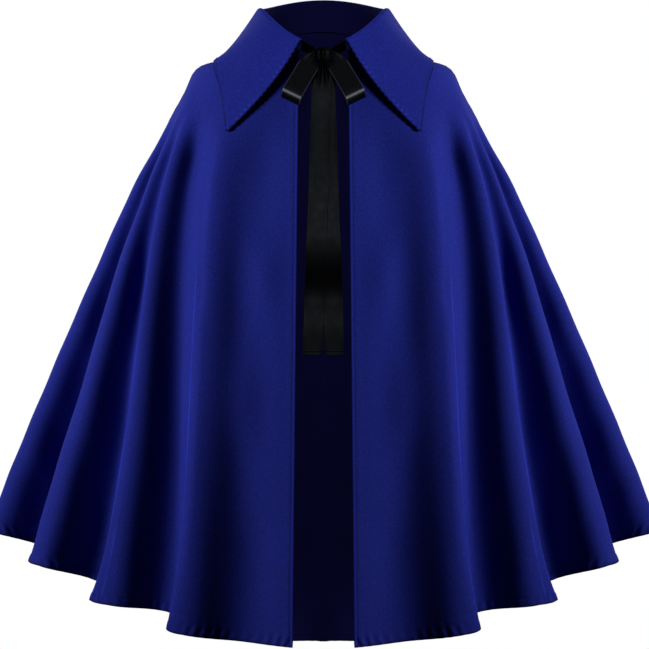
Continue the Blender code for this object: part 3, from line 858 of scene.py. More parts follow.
def roll_line(share):
    """Top of the collar's roll at shares of its length: an ellipse whose height follows cosine squared."""
    angle = np.radians(np.linspace(ROLL_FRONT_ANGLE, 180.0, COLLAR_SAMPLES + 1))
    c = np.cos(angle)
    depth = np.where(c > 0, ROLL_FRONT_DEPTH, ROLL_BACK_DEPTH)
    height = ROLL_SIDE_HEIGHT + np.where(c > 0, -ROLL_FRONT_DROP, ROLL_BACK_RISE) * c * c
    points = np.stack([ROLL_HALF_WIDTH * np.sin(angle), -depth * c, height], axis=-1)
    lengths = travel(points)
    return read_along(np.asarray(share) * lengths[-1], lengths, points)


def form_normal(angle, height):
    """Outward normal of the form: cross product of short steps down it and round it."""
    along = ring_point(angle + PROBE_ANGLE, height) - ring_point(angle - PROBE_ANGLE, height)
    down = ring_point(angle, height - PROBE_HEIGHT) - ring_point(angle, height + PROBE_HEIGHT)
    return unit(np.cross(down, along))


def collar_form(share):
    """Half the collar, neck seam to outer edge: a bowed stand, an arc over the roll, and a fall that is a
    curve of the second degree from the roll past its bend to the edge."""
    table = columns_of(EDGE_COLUMNS, COLLAR_EDGE)
    angle, height, bow, slide, lean = (
        smooth_through(table["share"], table[column])(share) for column in EDGE_COLUMNS[1:]
    )
    normal = form_normal(angle, height)
    towards_front = unit(ring_point(angle - PROBE_ANGLE, height) - ring_point(angle + PROBE_ANGLE, height))
    outer = ring_point(angle, height) + COLLAR_LIFT * normal
    top = roll_line(share)
    outward = unit(top / np.array((ROLL_HALF_WIDTH, ROLL_BACK_DEPTH, np.inf)) ** 2)
    centre = top - ROLL_RADIUS * UP
    seam, rise = neck_line(share)
    foot = seam + COLLAR_SEAM_GAP * rise
    knee = foot + STAND_SEAM * rise
    head = centre - ROLL_RADIUS * outward

    t = np.linspace(0.0, 1.0, STAND_ROWS, endpoint=False)[:, None, None] ** STAND_ROW_POWER
    stand = (1 - t) ** 2 * foot + 2 * t * (1 - t) * knee + t * t * head
    turn = np.radians(np.linspace(180.0, ROLL_END_ANGLE, ROLL_ROWS, endpoint=False))[:, None, None]
    roll = centre + ROLL_RADIUS * (np.cos(turn) * outward + np.sin(turn) * UP)
    end = math.radians(ROLL_END_ANGLE)
    start = centre + ROLL_RADIUS * (math.cos(end) * outward + math.sin(end) * UP)
    bend = (start + outer) / 2 + bow[:, None] * normal + lean[:, None] * towards_front
    bend += slide[:, None] * unit(outer - start)
    t = np.linspace(0.0, FALL_EDGE_SHARE, FALL_ROWS, endpoint=False)
    t = np.concatenate([t, np.linspace(FALL_EDGE_SHARE, 1.0, FALL_EDGE_ROWS)])[:, None, None]
    fall = (1 - t) ** 2 * start + 2 * t * (1 - t) * bend + t * t * outer
    return np.concatenate([stand, roll, fall])


def softened(points, times):
    """Rounds kinks down the rows: each inner point moves to a quarter of its neighbours and half itself."""
    for _ in range(times):
        inner = points[:-2] / 4 + points[1:-1] / 2 + points[2:] / 4
        points = np.concatenate([points[:1], inner, points[-1:]])
    return points


def collar_surface(cloth):
    """The collar's left half with its stitched edges and the puckers along the leaf's front edge."""
    strip = np.linspace(0.0, COLLAR_STRIP_SHARE, COLLAR_STRIP_COLUMNS, endpoint=False)
    share = np.concatenate([strip, np.linspace(COLLAR_STRIP_SHARE, 1.0, COLLAR_COLUMNS)])
    points = softened(collar_form(share), COLLAR_SOFTENING)
    down, along = travel(points, 0), travel(points, 1)
    outer = down[-1] - down
    on_fall = soft_step((np.arange(len(points)) - STAND_ROWS - ROLL_ROWS / 2) / ROLL_ROWS)[:, None]
    relief = edge_relief(outer, along, cloth.edge_depth, SEWN_COLLAR)
    relief += on_fall * edge_relief(along, down, cloth.edge_depth, SEWN_LEAF)
    scallop = on_fall * LEAF_SCALLOP * bell(along, LEAF_SCALLOP_WIDTH)
    scallop *= uneven_wave(down, LEAF_PERIOD, LEAF_SCALLOP_PHASE)
    made = dressed(points, relief) + scallop[..., None] * unit(np.gradient(points, axis=1))
    # Painted highlights on the leaf's puckers, and painted shade along the collar's outer edge and the leaf's
    # front edge
    pucker_highlights = np.maximum(pucker_wave(along, down, SEWN_LEAF), 0.0)
    press = -COLLAR_SHADE * bell(outer, COLLAR_SHADE_WIDTH) - LEAF_SHADE * bell(along, LEAF_SHADE_WIDTH)
    press += LEAF_PUCKER_HIGHLIGHTS * pucker_highlights * bell(along - LEAF_HIGHLIGHT_DEPTH, LEAF_HIGHLIGHT_WIDTH)
    press *= on_fall
    uv = np.stack([along, -down], axis=-1)
    return {"points": made, "uv": uv, "press": press, "outer": outer, "along": along}


# Meshes


def both_halves(half, joined):
    """A left half and its mirror image as one grid; joined leaves out the second copy of the middle."""
    mirrored = half[:, ::-1] * MIRROR
    return np.concatenate([half, mirrored[:, 1:] if joined else mirrored], axis=1)


def both_uvs(uv):
    """The cloth's own coordinates carried on round the other half."""
    width = uv[:, -1:, :1]
    mirrored = np.concatenate([2 * width - uv[:, ::-1, :1], uv[:, ::-1, 1:]], axis=-1)
    return np.concatenate([uv, mirrored[:, 1:]], axis=1)


def both_marks(marks):
    """A half's marks carried on round the other half."""
    return np.concatenate([marks, marks[:, ::-1][:, 1:]], axis=1)


def grid_faces(rows, columns, closed=False):
    """Corner numbers of a grid's faces; closed joins the last column to the first."""
    r, c = np.meshgrid(np.arange(rows - 1), np.arange(columns if closed else columns - 1), indexing="ij")
    after = (c + 1) % columns
    corners = [r * columns + c, (r + 1) * columns + c, (r + 1) * columns + after, r * columns + after]
    return np.stack(corners, axis=-1).reshape(-1, 4)


def new_piece(name, points, faces, finishes, corner_uv=None, press=None):
    """A mesh object at the origin from whole arrays, which rides on the cape's body."""
    mesh = bpy.data.meshes.new(name)
    mesh.from_pydata(points.reshape(-1, 3).tolist(), [], faces.tolist())
    for finish in finishes:
        mesh.materials.append(finish)
    if corner_uv is not None:
        layer = mesh.uv_layers.new(name="cloth")
        layer.data.foreach_set("uv", corner_uv.astype(np.float32).ravel())
    # The painted light and shade, kept on the points for the finish to read
    if press is not None:
        marks = mesh.attributes.new("press", "FLOAT", "POINT")
        marks.data.foreach_set("value", press.astype(np.float32).ravel())
    mesh.shade_smooth()
    mesh.update()
    if mesh.validate():
        raise RuntimeError(f"{name}: the grid gave faces that Blender had to mend")
    made = bpy.data.objects.new(name, mesh)
    bpy.context.scene.collection.objects.link(made)
    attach(made, BODY)
    return made


def cloth_piece(name, points, uv, finishes, flip=False, press=None):
    """A piece from a grid of points, its cloth coordinates and the painted light and shade of its colour;
    flip turns the faces of a mirrored grid."""
    faces = grid_faces(*points.shape[:2])
    if flip:
        faces = faces[:, ::-1]
    corner_uv = uv.reshape(-1, 2)[faces]
    return new_piece(name, points, faces, finishes, corner_uv, press)


def thicken(piece, thickness, reverse=0, edge_radius=0.0005):
    """Gives a surface its thickness, half to each side, and soft edges; an offset gives the reverse the next
    finish, which on the cape is the inside's near-black navy, painted shade.
    """
    wall = piece.modifiers.new("thickness", "SOLIDIFY")
    wall.thickness = thickness
    wall.offset = 0.0
    wall.material_offset = reverse
    wall.material_offset_rim = reverse
    edge = piece.modifiers.new("soft_edge", "BEVEL")
    edge.width = edge_radius
    edge.segments = 2
    edge.limit_method = "ANGLE"
    edge.angle_limit = math.radians(60)


def stitch_mesh(paths, cloth):
    """Stitches along paths of points and normals. Each is a spindle of four rings with four corners that
    lies half sunk in the cloth, one every pitch."""
    stations = np.array(STITCH_STATIONS)[:, None, None]
    radii = np.array(STITCH_RADII)[:, None, None]
    corner = (np.arange(4) * TAU / 4 + TAU / 8)[:, None]
    length = STITCH_LENGTH_SHARE * cloth.stitch_pitch
    made = []
    for path, normals in paths:
        lengths = travel(path)
        count = int(lengths[-1] / cloth.stitch_pitch)
        middle = (np.arange(count) + 0.5) * lengths[-1] / count
        centre = read_along(middle, lengths, path)
        out = unit(read_along(middle, lengths, normals))
        ahead = read_along(middle + length / 2, lengths, path)
        behind = read_along(middle - length / 2, lengths, path)
        forward = unit(ahead - behind)
        centre, forward, out = (field[:, None, None, :] for field in (centre, forward, out))
        around = np.cos(corner) * np.cross(forward, out) + np.sin(corner) * out
        spine = centre + stations * length * forward
        made.append((spine + radii * cloth.thread_radius * around).reshape(-1, 16, 3))
    points = np.concatenate(made)
    tube = grid_faces(4, 4, closed=True)
    ends = np.array([[0, 1, 2, 3], [15, 14, 13, 12]])
    faces = np.concatenate([tube, ends])
    faces = (16 * np.arange(len(points)))[:, None, None] + faces
    return points.reshape(-1, 3), faces.reshape(-1, 4)


# The ribbon's surface


def gathered(share, full_from, width):
    """Width that opens from the gathers at the knot to the full ribbon."""
    return GATHERED_WIDTH + (width - GATHERED_WIDTH) * soft_step(share / full_from)


def ribbon_surface(path, across, width, pleats, cup, corner=0.0):
    """A strip carried along a path: its cross line has the given direction and width, is cupped by a
    parabola, pleated by a cosine where it is gathered, and beaded along both woven edges. A corner radius
    rounds the inner corner at the path's end."""
    u = np.linspace(-0.5, 0.5, RIBBON_COLUMNS)
    normal = unit(np.cross(np.gradient(path, axis=0), across))
    lengths = travel(path)
    into_corner = np.clip(corner - (lengths[-1] - lengths), 0.0, corner)
    inset = corner - np.sqrt(corner**2 - into_corner**2)
    place = u * (width[:, None] - 2 * inset[:, None] * (u < 0))
    bead = RIBBON_BEAD * bell((0.5 - np.abs(u)) * width[:, None], RIBBON_BEAD_WIDTH)
    pleated = pleats[:, None] * np.cos(TAU * PLEAT_COUNT * u + PLEAT_PHASE)
    relief = cup[:, None] * (1 - 4 * u**2) + pleated + bead
    points = path[:, None] + place[..., None] * across[:, None] + relief[..., None] * normal[:, None]
    uv = np.stack(np.broadcast_arrays(place, lengths[:, None]), axis=-1)
    return points, uv


def loop_surface(tie):
    """A bow loop: the strip turns from upright at the knot to hang, runs out in front and back behind."""
    share = np.linspace(0.0, 1.0, LOOP_ROWS)
    path = spline_through(np.array(LOOP_PATH), share)
    from_knot = np.minimum(share, 1 - share)
    slant = math.radians(LOOP_SLANT)
    hanging = np.array((math.cos(slant), 0.0, math.sin(slant)))
    turned = soft_step(from_knot / LOOP_TURN_SHARE)[:, None]
    across = unit(UP * (1 - turned) + hanging * turned)
    width = gathered(from_knot, LOOP_FULL_SHARE, tie.ribbon_width)
    opening = soft_step(from_knot / LOOP_FULL_SHARE)
    return ribbon_surface(path, across, width, LOOP_PLEAT * (1 - opening), 0.0 * share)


def tail_surface(tie, layer):
    """A tail: a hanging strip, gathered at the knot, with soft waves down its length and a turned end."""
    even = np.linspace(0.0, TAIL_END_SHARE, TAIL_ROWS, endpoint=False)
    share = np.concatenate([even, np.linspace(TAIL_END_SHARE, 1.0, TAIL_END_ROWS)])
    path = spline_through(np.array(TAIL_PATH) + np.array((0.0, layer, 0.0)), share)
    across = np.tile(np.array((1.0, 0.0, 0.0)), (len(share), 1))
    width = gathered(share, TAIL_FULL_SHARE, tie.ribbon_width)
    opening = soft_step(share / TAIL_OPEN_SHARE)
    width = width - TAIL_TAPER * soft_step((share - TAIL_TAPER_FROM) / (1 - TAIL_TAPER_FROM))
    wave = TAIL_WAVE * np.sin(TAU * TAIL_WAVE_COUNT * share + TAIL_WAVE_PHASE) * opening
    length = travel(path)[-1]
    hem = TAIL_HEM_HEIGHT * soft_step((TAIL_HEM - (1 - share) * length) / TAIL_HEM_EDGE)
    path = path - hem[:, None] * np.array((0.0, 1.0, 0.0))
    return ribbon_surface(path, across, width, TAIL_PLEAT * (1 - opening), wave, TAIL_CORNER)


def lead_surface(tie):
    """The short stretch from the collar's front edge to the knot."""
    top, foot = roll_line(0.0), neck_line(np.array(0.0))[0]
    sewn = (top + foot) / 2 - np.array((LEAD_INSET, 0.0, 0.0))
    tied = np.array((KNOT_HALF_SIZE[0] + LEAD_KNOT_GAP, LEAD_KNOT_DEPTH, LEAD_KNOT_HEIGHT))
    share = np.linspace(0.0, 1.0, LEAD_ROWS)
    path = sewn + (tied - sewn) * share[:, None]
    across = np.tile(UP, (len(share), 1))
    pleats = LEAD_PLEAT * soft_step(share)
    return ribbon_surface(path, across, np.full(len(share), GATHERED_WIDTH), pleats, 0 * share)


def knot_surface():
    """The knot: ribbon wound once round the bow's middle. A rounded box section in Y and Z is carried along
    X, drawn in at both ends, with gathers that run round it."""
    along = np.linspace(-1.0, 1.0, KNOT_ROWS)[:, None]
    around = np.linspace(0.0, TAU, KNOT_COLUMNS + 1)[None, :-1]
    half_x, half_y, half_z = KNOT_HALF_SIZE
    squared = np.abs(np.cos(around)) ** KNOT_SQUARENESS + np.abs(np.sin(around)) ** KNOT_SQUARENESS
    round_box = squared ** (-1 / KNOT_SQUARENESS)
    barrel = 1 - KNOT_DRAWN_IN * np.abs(along) ** 3
    gathers = KNOT_GATHER * np.cos(7.5 * along + 0.9 * np.sin(around) + 0.5 * np.sin(2 * around + 1.0))
    radius = round_box * barrel * (1 - KNOT_GATHER + gathers * (1 - 0.6 * along**2))
    x = half_x * along * (1 + 0 * around)
    y = half_y * radius * np.cos(around)
    z = half_z * radius * np.sin(around)
    return np.array(KNOT_CENTRE) + np.stack([x, y, z], axis=-1)


# Finishes


class Value:
    """A shader socket in an expression: each operator adds one Math node to the finish."""

    def __init__(self, finish, socket):
        self.finish = finish
        self.socket = socket

    def math(self, operation, *others):
        sockets = dict(enumerate((self, *others)))
        return self.finish.add("ShaderNodeMath", {"operation": operation}, sockets)

    def __add__(self, other):
        return self.math("ADD", other)

    __radd__ = __add__

    def __mul__(self, other):
        return self.math("MULTIPLY", other)

    __rmul__ = __mul__

    def __sub__(self, other):
        return self.math("SUBTRACT", other)

    def __rsub__(self, other):
        return self.finish.add("ShaderNodeMath", {"operation": "SUBTRACT"}, {0: other, 1: self})

    def __truediv__(self, other):
        return self.math("DIVIDE", other)

    def sine(self):
        return self.math("SINE")

    def clamped(self):
        return self.finish.add("ShaderNodeClamp", {}, {"Value": self})


class Finish:
    """A procedural material and the one method that adds any node to it."""

    def __init__(self, name):
        self.material = bpy.data.materials.new(name)
        self.material.use_nodes = True
        self.tree = self.material.node_tree
        self.shader = self.tree.nodes["Principled BSDF"]

    def add(self, kind, settings, sockets, output=0):
        """A node of a type, with its settings and the values or links of its sockets; gives one output."""
        node = self.tree.nodes.new(kind)
        for name, value in settings.items():
            setattr(node, name, value)
        for name, value in sockets.items():
            self.feed(node.inputs[name], value)
        return Value(self, node.outputs[output])

    def feed(self, socket, value):
        if isinstance(value, Value):
            self.tree.links.new(value.socket, socket)
        else:
            socket.default_value = value

    def mix(self, factor, first, second):
        """A colour between two colours."""
        sockets = {0: factor, 6: first, 7: second}
        return self.add("ShaderNodeMix", {"data_type": "RGBA"}, sockets, 2)

    def noise(self, vector, scale, detail):
        return self.add("ShaderNodeTexNoise", {}, {"Vector": vector, "Scale": scale, "Detail": detail})

    def cloth_uv(self):
        """The piece's own cloth coordinates, in metres across and along."""
        return self.add("ShaderNodeUVMap", {"uv_map": "cloth"}, {})

    def part_of(self, vector, axis):
        return self.add("ShaderNodeSeparateXYZ", {}, {0: vector}, axis)

    def finish(self, **sockets):
        """Feeds the shader's own sockets, with spaces for the names' underscores."""
        for name, value in sockets.items():
            self.feed(self.shader.inputs[name.replace("_", " ")], value)
        return self.material

    def bump(self, height, distance, strength):
        sockets = {"Height": height, "Distance": distance, "Strength": strength}
        return self.add("ShaderNodeBump", {}, sockets)


def rgba(colour, gain=1.0):
    return (*(gain * channel for channel in colour), 1.0)


def made_once(make):
    """Lets a function that makes a finish give the one of that name again."""
    def finish_of(name, *settings):
        return bpy.data.materials.get(name) or make(name, *settings)

    return finish_of


@made_once
def twill_finish(name, colour, pitch, contrast, gloss, sheen):
    """Brushed twill: slanting ridges, a short uneven nap over them, slubs along the threads and faint clouds
    in the dye. Where the attribute is above zero the colour is paler, a painted highlight; below zero it is
    darker, a painted shade."""
    finish = Finish(name)
    uv = finish.cloth_uv()
    slant = finish.part_of(uv, 0) + finish.part_of(uv, 1)
    ridges = (slant * (TAU / pitch)).sine() * 0.5 + 0.5
    nap = finish.noise(uv, NAP_SCALE, 3.0)
    fuzz = finish.noise(uv, FUZZ_SCALE, 2.0)
    clouds = finish.noise(uv, DYE_CLOUD_SCALE, 3.0)
    stretched = finish.add("ShaderNodeMapping", {}, {"Vector": uv, "Scale": SLUB_SCALES})
    slubs = finish.noise(stretched, 1.0, 2.0)
    tone = (clouds * 0.30 + nap * 1.6 + slubs * 0.6 + ridges * 0.10 + fuzz * 0.25 - 0.93).clamped()
    base = finish.mix(tone, rgba(colour, 1 - contrast), rgba(colour, 1 + contrast))
    # Painted highlight where the attribute is above zero, painted shade where it is below
    press = finish.add("ShaderNodeAttribute", {"attribute_name": "press"}, {}, 2)
    base = finish.mix(press.clamped(), base, rgba(colour, PAINTED_HIGHLIGHT_GAIN))
    base = finish.mix((press * -1.0).clamped(), base, rgba(colour, SHADED_GAIN))
    height = ridges * 0.45 + nap * 0.8 + fuzz * 0.35
    return finish.finish(
        Base_Color=base,
        Roughness=nap * 0.16 + 0.76,
        Normal=finish.bump(height, 0.00022, 0.55),
        Specular_IOR_Level=gloss,
        Sheen_Weight=sheen,
        Sheen_Roughness=0.45,
        Sheen_Tint=rgba(colour, 3.2),
    )


def cape_finishes(cloth):
    """The right side of the cape's cloth, and near-black navy for its inside: painted shade, for the inside
    is the same cloth in shade.
    """
    right = twill_finish("royal_twill", cloth.cloth_colour, cloth.twill_pitch, 0.38, 0.12, 0.10)
    inside = twill_finish("navy_reverse", cloth.inside_shade_colour, cloth.twill_pitch, 0.25, 0.02, 0.0)
    return [right, inside]


@made_once
def satin_finish(name, tie):
    """Satin: fine floats along the ribbon that streak its gloss, and a painted highlight along both woven
    edges.
    """
    finish = Finish(name)
    uv = finish.cloth_uv()
    stretched = finish.add("ShaderNodeMapping", {}, {"Vector": uv, "Scale": SATIN_SCALES})
    streaks = finish.noise(stretched, 1.0, 2.0)
    clouds = finish.noise(uv, SATIN_CLOUD_SCALE, 2.0)
    base = finish.mix(streaks, rgba(tie.ribbon_colour, 0.7), rgba(tie.ribbon_colour, 1.4))
    # Painted highlight: the colour turns pale near both edges
    across = finish.part_of(uv, 0).math("ABSOLUTE")
    selvedge_highlight = ((across - (tie.ribbon_width / 2 - SELVEDGE_HIGHLIGHT_WIDTH)) / SELVEDGE_HIGHLIGHT_FADE).clamped()
    base = finish.mix(selvedge_highlight, base, rgba(tie.ribbon_colour, SELVEDGE_HIGHLIGHT_GAIN))
    return finish.finish(
        Base_Color=base,
        Roughness=streaks * 0.10 + clouds * 0.10 + 0.25,
        Normal=finish.bump(streaks + clouds * 0.6, 0.00010, 0.30),
        Specular_IOR_Level=0.15,
        Specular_Tint=SATIN_SPECULAR_TINT,
    )


@made_once
def thread_finish(name, cloth):
    """Sewing thread: fine twisted plies."""
    finish = Finish(name)
    place = finish.add("ShaderNodeTexCoord", {}, {}, 3)
    plies = finish.noise(place, PLY_SCALE, 2.0)
    base = finish.mix(plies, rgba(cloth.thread_colour, 0.6), rgba(cloth.thread_colour, 1.3))
    bump = finish.bump(plies, 0.0001, 0.5)
    return finish.finish(Base_Color=base, Roughness=plies * 0.2 + 0.5, Normal=bump, Specular_IOR_Level=0.35)


# Operators


class CAPE_OT_fronts(bpy.types.Operator):
    """Make the two front panels"""

    bl_idname = "cape.fronts"
    bl_label = "Fronts"

    def execute(self, context):
        cloth = context.scene.cape_cloth
        surface = front_surface(cloth)
        width, length, area = sector_cut(surface, mirrored=False)
        for word, mirror in (("left", False), ("right", True)):
            points = surface["points"] * MIRROR if mirror else surface["points"]
            name = f"cape_front_{word}"
            uv, press = surface["uv"], surface["press"]
            panel = cloth_piece(name, points, uv, cape_finishes(cloth), flip=mirror, press=press)
            thicken(panel, cloth.thickness, reverse=1)
            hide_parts(f"front_{word}")
        return {"FINISHED"}


class CAPE_OT_back(bpy.types.Operator):
    """Make the back panel"""

    bl_idname = "cape.back"
    bl_label = "Back"

    def execute(self, context):
        cloth = context.scene.cape_cloth
        surface = back_surface(cloth)
        width, length, area = sector_cut(surface, mirrored=True)
        points = both_halves(surface["points"], joined=True)
        uv, press = both_uvs(surface["uv"]), both_marks(surface["press"])
        panel = cloth_piece("cape_back", points, uv, cape_finishes(cloth), press=press)
        thicken(panel, cloth.thickness, reverse=1)
        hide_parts("back")
        return {"FINISHED"}


class CAPE_OT_collar(bpy.types.Operator):
    """Make the collar"""

    bl_idname = "cape.collar"
    bl_label = "Collar"

    def execute(self, context):
        cloth = context.scene.cape_cloth
        surface = collar_surface(cloth)
        points = both_halves(surface["points"], joined=True)
        uv, press = both_uvs(surface["uv"]), both_marks(surface["press"])
        collar = cloth_piece("cape_collar", points, uv, cape_finishes(cloth), press=press)
        # The stand and part of the roll take the inside's near-black navy: painted shade on the collar's
        # inside
        painted_shade_rows = STAND_ROWS + round(PAINTED_SHADE_ROLL_SHARE * ROLL_ROWS)
        painted_shade = np.arange(len(collar.data.polygons)) < painted_shade_rows * (points.shape[1] - 1)
        collar.data.polygons.foreach_set("material_index", painted_shade.astype(np.int32))
        thicken(collar, cloth.collar_thickness, edge_radius=0.0007)
        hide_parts("collar")
        return {"FINISHED"}


class CAPE_OT_tie(bpy.types.Operator):
    """Make the ribbon bow: knot, loops, tails and leads"""

    bl_idname = "cape.tie"
    bl_label = "Ribbon bow"

    def execute(self, context):
        tie = context.scene.cape_tie
        for word, mirror, layer in (("left", False, TAIL_LAYER), ("right", True, 0.0)):
            self.strip(tie, f"loop_{word}", loop_surface(tie), mirror, "folded")
            self.strip(tie, f"tail_{word}", tail_surface(tie, layer), mirror, "hung")
            self.strip(tie, f"lead_{word}", lead_surface(tie), mirror, "gathered")
        self.knot(tie)
        return {"FINISHED"}

    def strip(self, tie, name, surface, mirror, held):
        points, uv = surface
        if mirror:
            points = points * MIRROR
        finishes = [satin_finish("black_satin_ribbon", tie)]
        piece = cloth_piece(f"ribbon_{name}", points, uv, finishes, flip=not mirror)
        thicken(piece, tie.ribbon_thickness, edge_radius=0.0002)
        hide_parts(f"tie_{name}")
        area = float(np.ptp(uv[..., 0], axis=1).mean() * uv[-1, 0, 1])

    def knot(self, tie):
        points = knot_surface()
        rows, columns = points.shape[:2]
        faces = grid_faces(rows, columns, closed=True)
        whole = grid_faces(rows, columns + 1)
        wide = np.concatenate([points, points[:, :1]], axis=1)
        uv = np.stack([travel(wide, 0), travel(wide, 1)], axis=-1).reshape(-1, 2)
        finishes = [satin_finish("black_satin_ribbon", tie)]
        knot = new_piece("ribbon_knot", points, faces, finishes, uv[whole])
        thicken(knot, tie.ribbon_thickness, edge_radius=0.0002)
        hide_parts("tie_knot")


class CAPE_OT_sewing(bpy.types.Operator):
    """Make the rows of stitches along the hem, the front edges and the collar"""

    bl_idname = "cape.sewing"
    bl_label = "Sewing"

    def execute(self, context):
        cloth = context.scene.cape_cloth
        front, back, collar = front_surface(cloth), back_surface(cloth), collar_surface(cloth)
        hems, edges = self.both(self.hem_path(front, cloth)), self.both(self.front_path(front, cloth))
        for word, hem, edge in zip(("left", "right"), hems, edges):
            self.row(f"hem_stitches_{word}", [hem], cloth)
            self.row(f"front_stitches_{word}", [edge], cloth)
        self.row("hem_stitches_back", [self.whole(self.hem_path(back, cloth))], cloth)
        outer, leaf = self.collar_paths(collar, cloth)
        self.row("collar_stitches", [self.whole(outer), *self.both(leaf)], cloth)
        return {"FINISHED"}

    def lifted(self, surface, thickness):
        """The cloth's outer face and its normals."""
        normals = grid_normals(surface["points"])
        return surface["points"] + thickness / 2 * normals, normals

    def hem_path(self, surface, cloth):
        """The row of stitches above the hem, with its normals."""
        points, normals = self.lifted(surface, cloth.thickness)
        distance = (surface["down"][-1] - surface["down"])[::-1]
        return [line_at(cloth.hem_depth, distance, field[::-1]) for field in (points, normals)]

    def front_path(self, surface, cloth):
        """The row of stitches beside the front edge, with its normals."""
        points, normals = self.lifted(surface, cloth.thickness)
        across = surface["along"].T
        return [line_at(cloth.edge_depth, across, field.transpose(1, 0, 2)) for field in (points, normals)]

    def collar_paths(self, surface, cloth):
        """Outer edge from the leaf's stitch corner to the centre back, and the leaf's front edge."""
        fields = self.lifted(surface, cloth.collar_thickness)
        upward = surface["outer"][::-1]
        outer = [line_at(cloth.edge_depth, upward, field[::-1]) for field in fields]
        outer = [field[COLLAR_STRIP_COLUMNS // 2 :] for field in outer]
        rows = slice(STAND_ROWS + ROLL_ROWS, -LEAF_ROWS_LEFT_OUT)
        across = surface["along"][rows].T
        leaf = [line_at(cloth.edge_depth, across, field[rows].transpose(1, 0, 2)) for field in fields]
        return outer, leaf

    def both(self, path):
        """A path and its mirror image."""
        return [tuple(path), tuple(field * MIRROR for field in path)]

    def whole(self, path):
        """A path that runs on over the middle along its mirror image."""
        return tuple(np.concatenate([field, field[::-1][1:] * MIRROR]) for field in path)

    def row(self, name, paths, cloth):
        points, faces = stitch_mesh(paths, cloth)
        new_piece(name, points, faces, [thread_finish("blue_thread", cloth)])


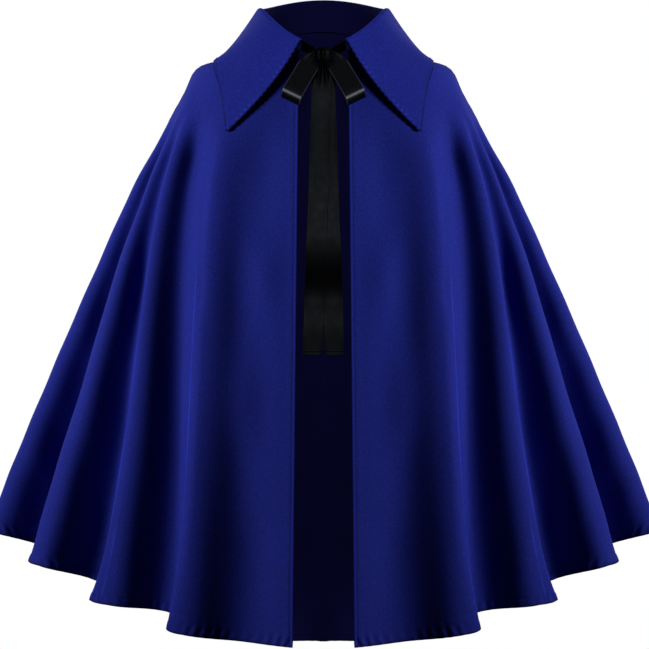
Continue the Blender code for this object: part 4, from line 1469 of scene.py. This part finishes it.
class CAPE_OT_stage(bpy.types.Operator):
    """Make the floor, the lights, the background and the camera"""

    bl_idname = "cape.stage"
    bl_label = "Stage"

    def execute(self, context):
        stage = context.scene.cape_stage
        self.floor(stage)
        self.lights(stage)
        self.background(context, stage)
        self.camera(context, stage)
        context.scene.view_settings.view_transform = "Standard"
        return {"FINISHED"}

    def floor(self, stage):
        """A level grid under the wearer's feet, which thins out into the white background and throws no light
        on the cape."""
        side = np.linspace(-FLOOR_REACH, FLOOR_REACH, FLOOR_STEPS)
        x, y = np.meshgrid(side, side)
        points = np.stack([x, y, np.full_like(x, stage.floor_height)], axis=-1)
        faces = grid_faces(FLOOR_STEPS, FLOOR_STEPS)[:, ::-1]
        mesh = bpy.data.meshes.new("floor")
        mesh.from_pydata(points.reshape(-1, 3).tolist(), [], faces.tolist())
        finish = Finish("pale_floor")
        place = finish.add("ShaderNodeTexCoord", {}, {}, 3)
        away = finish.add("ShaderNodeVectorMath", {"operation": "LENGTH"}, {0: place}, 1)
        thin = ((away - FLOOR_FADE_FROM) / FLOOR_FADE_WITHIN).clamped()
        grain = finish.noise(place, FLOOR_GRAIN_SCALE, 3.0)
        finish.finish(Base_Color=finish.mix(grain, *FLOOR_COLOURS), Roughness=0.9)
        clear = finish.add("ShaderNodeBsdfTransparent", {}, {})
        shown = Value(finish, finish.shader.outputs[0])
        surface = finish.add("ShaderNodeMixShader", {}, {0: thin, 1: shown, 2: clear})
        finish.feed(finish.tree.nodes["Material Output"].inputs["Surface"], surface)
        mesh.materials.append(finish.material)
        floor = bpy.data.objects.new("floor", mesh)
        floor.visible_diffuse = False
        floor.visible_glossy = False
        bpy.context.scene.collection.objects.link(floor)

    def lights(self, stage):
        """A soft light on each side, kept off the collar, the ribbon and the other side's front. Two behind
        the cape, kept off the ribbon and the back, and two for the back and the collar. One for the floor,
        and three in front: for the collar and the inside, for the ribbon and for the bow's loops."""
        ribbon = [piece.name for piece in bpy.data.objects if piece.name.startswith("ribbon_")]
        loops = [name for name in ribbon if "loop" in name]
        left, right = ([f"{word}_{side}" for word in SIDED_PIECES] for side in ("left", "right"))
        collar = ["cape_collar", "collar_stitches"]
        back = ["cape_back", "hem_stitches_back"]
        for side, others in ((1, right), (-1, left)):
            light = self.light("side", stage.side_power, side)
            self.link(light, "receiver_collection", "EXCLUDE", others + ribbon + collar)
            light = self.light("back", stage.back_power, side)
            self.link(light, "receiver_collection", "EXCLUDE", ribbon + back)
            light = self.light("rear", stage.rear_power, side)
            self.link(light, "receiver_collection", "INCLUDE", back + collar)
        light = self.light("floor", stage.floor_power)
        self.link(light, "receiver_collection", "INCLUDE", ["floor"])
        light = self.light("front", stage.front_power)
        self.link(light, "receiver_collection", "INCLUDE", collar + back)
        self.link(light, "blocker_collection", "EXCLUDE", left + right + ribbon)
        light = self.light("ribbon", stage.ribbon_power)
        self.link(light, "receiver_collection", "INCLUDE", ribbon)
        light = self.light("bow", stage.bow_power)
        light.data.shape = "RECTANGLE"
        light.data.size_y = BOW_LIGHT_HEIGHT
        self.link(light, "receiver_collection", "INCLUDE", loops)

    def light(self, kind, power, side=0):
        """A square light from the table, in the middle or on one side, that faces its point."""
        place, aim, size, spread = LIGHTS[kind]
        name = f"{kind}_light_{side}" if side else f"{kind}_light"
        data = bpy.data.lights.new(name, "AREA")
        data.size = size
        data.spread = math.radians(spread)
        data.energy = power
        light = bpy.data.objects.new(name, data)
        light.location = (side * place[0], *place[1:])
        toward = Vector((side * aim[0], *aim[1:])) - light.location
        light.rotation_euler = toward.to_track_quat("-Z", "Y").to_euler()
        bpy.context.scene.collection.objects.link(light)
        return light

    def link(self, light, kind, state, names):
        """Lets only the named pieces, or all others, be lit by a light or shade it."""
        reach = bpy.data.collections.new(f"{light.name}_{kind}")
        for name in names:
            reach.objects.link(bpy.data.objects[name])
        for member in reach.collection_objects:
            member.light_linking.link_state = state
        setattr(light.light_linking, kind, reach)

    def background(self, context, stage):
        """White to the camera, and a dimmer even light on the cape."""
        world = bpy.data.worlds.new("studio")
        world.use_nodes = True
        tree = world.node_tree
        seen = tree.nodes.new("ShaderNodeLightPath").outputs["Is Camera Ray"]
        strength = tree.nodes.new("ShaderNodeMapRange")
        strength.inputs["To Min"].default_value = stage.ambient
        strength.inputs["To Max"].default_value = 1.0
        background = tree.nodes["Background"]
        background.inputs["Color"].default_value = (1.0, 1.0, 1.0, 1.0)
        tree.links.new(seen, strength.inputs["Value"])
        tree.links.new(strength.outputs["Result"], background.inputs["Strength"])
        context.scene.world = world

    def camera(self, context, stage):
        """A level camera straight in front, framed as the photograph."""
        data = bpy.data.cameras.new("camera")
        data.sensor_width = SENSOR_WIDTH
        data.lens = SENSOR_WIDTH * stage.camera_distance / (IMAGE_PIXELS * PIXEL_SIZE)
        data.shift_x = (IMAGE_PIXELS / 2 - AXIS_PIXEL) / IMAGE_PIXELS
        camera = bpy.data.objects.new("camera", data)
        camera.location = (0.0, -stage.camera_distance, stage.camera_height)
        camera.rotation_euler = (math.radians(90), 0.0, 0.0)
        bpy.context.scene.collection.objects.link(camera)
        context.scene.camera = camera


class CAPE_PT_sidebar(bpy.types.Panel):
    """Lists the cape's operators and settings"""

    bl_idname = "CAPE_PT_sidebar"
    bl_label = "Cape"
    bl_space_type = "VIEW_3D"
    bl_region_type = "UI"
    bl_category = "Cape"

    def draw(self, context):
        for settings in (context.scene.cape_cloth, context.scene.cape_tie, context.scene.cape_stage):
            for name in settings.__annotations__:
                self.layout.prop(settings, name)
        for operator in OPERATORS:
            self.layout.operator(operator.bl_idname)


SETTINGS = {
    "cape_cloth": CapeClothSettings,
    "cape_tie": CapeTieSettings,
    "cape_stage": CapeStageSettings,
}
OPERATORS = (CAPE_OT_fronts, CAPE_OT_back, CAPE_OT_collar, CAPE_OT_tie, CAPE_OT_sewing, CAPE_OT_stage)


def register():
    for name, group in SETTINGS.items():
        bpy.utils.register_class(group)
        setattr(bpy.types.Scene, name, bpy.props.PointerProperty(type=group))
    for made in (*OPERATORS, CAPE_PT_sidebar):
        bpy.utils.register_class(made)


def unregister():
    for made in (CAPE_PT_sidebar, *reversed(OPERATORS)):
        bpy.utils.unregister_class(made)
    for name, group in SETTINGS.items():
        delattr(bpy.types.Scene, name)
        bpy.utils.unregister_class(group)


def main():
    register()
    bpy.ops.cape.fronts()
    bpy.ops.cape.back()
    bpy.ops.cape.collar()
    bpy.ops.cape.tie()
    bpy.ops.cape.sewing()
    bpy.ops.cape.stage()


if __name__ == "__main__":
    main()
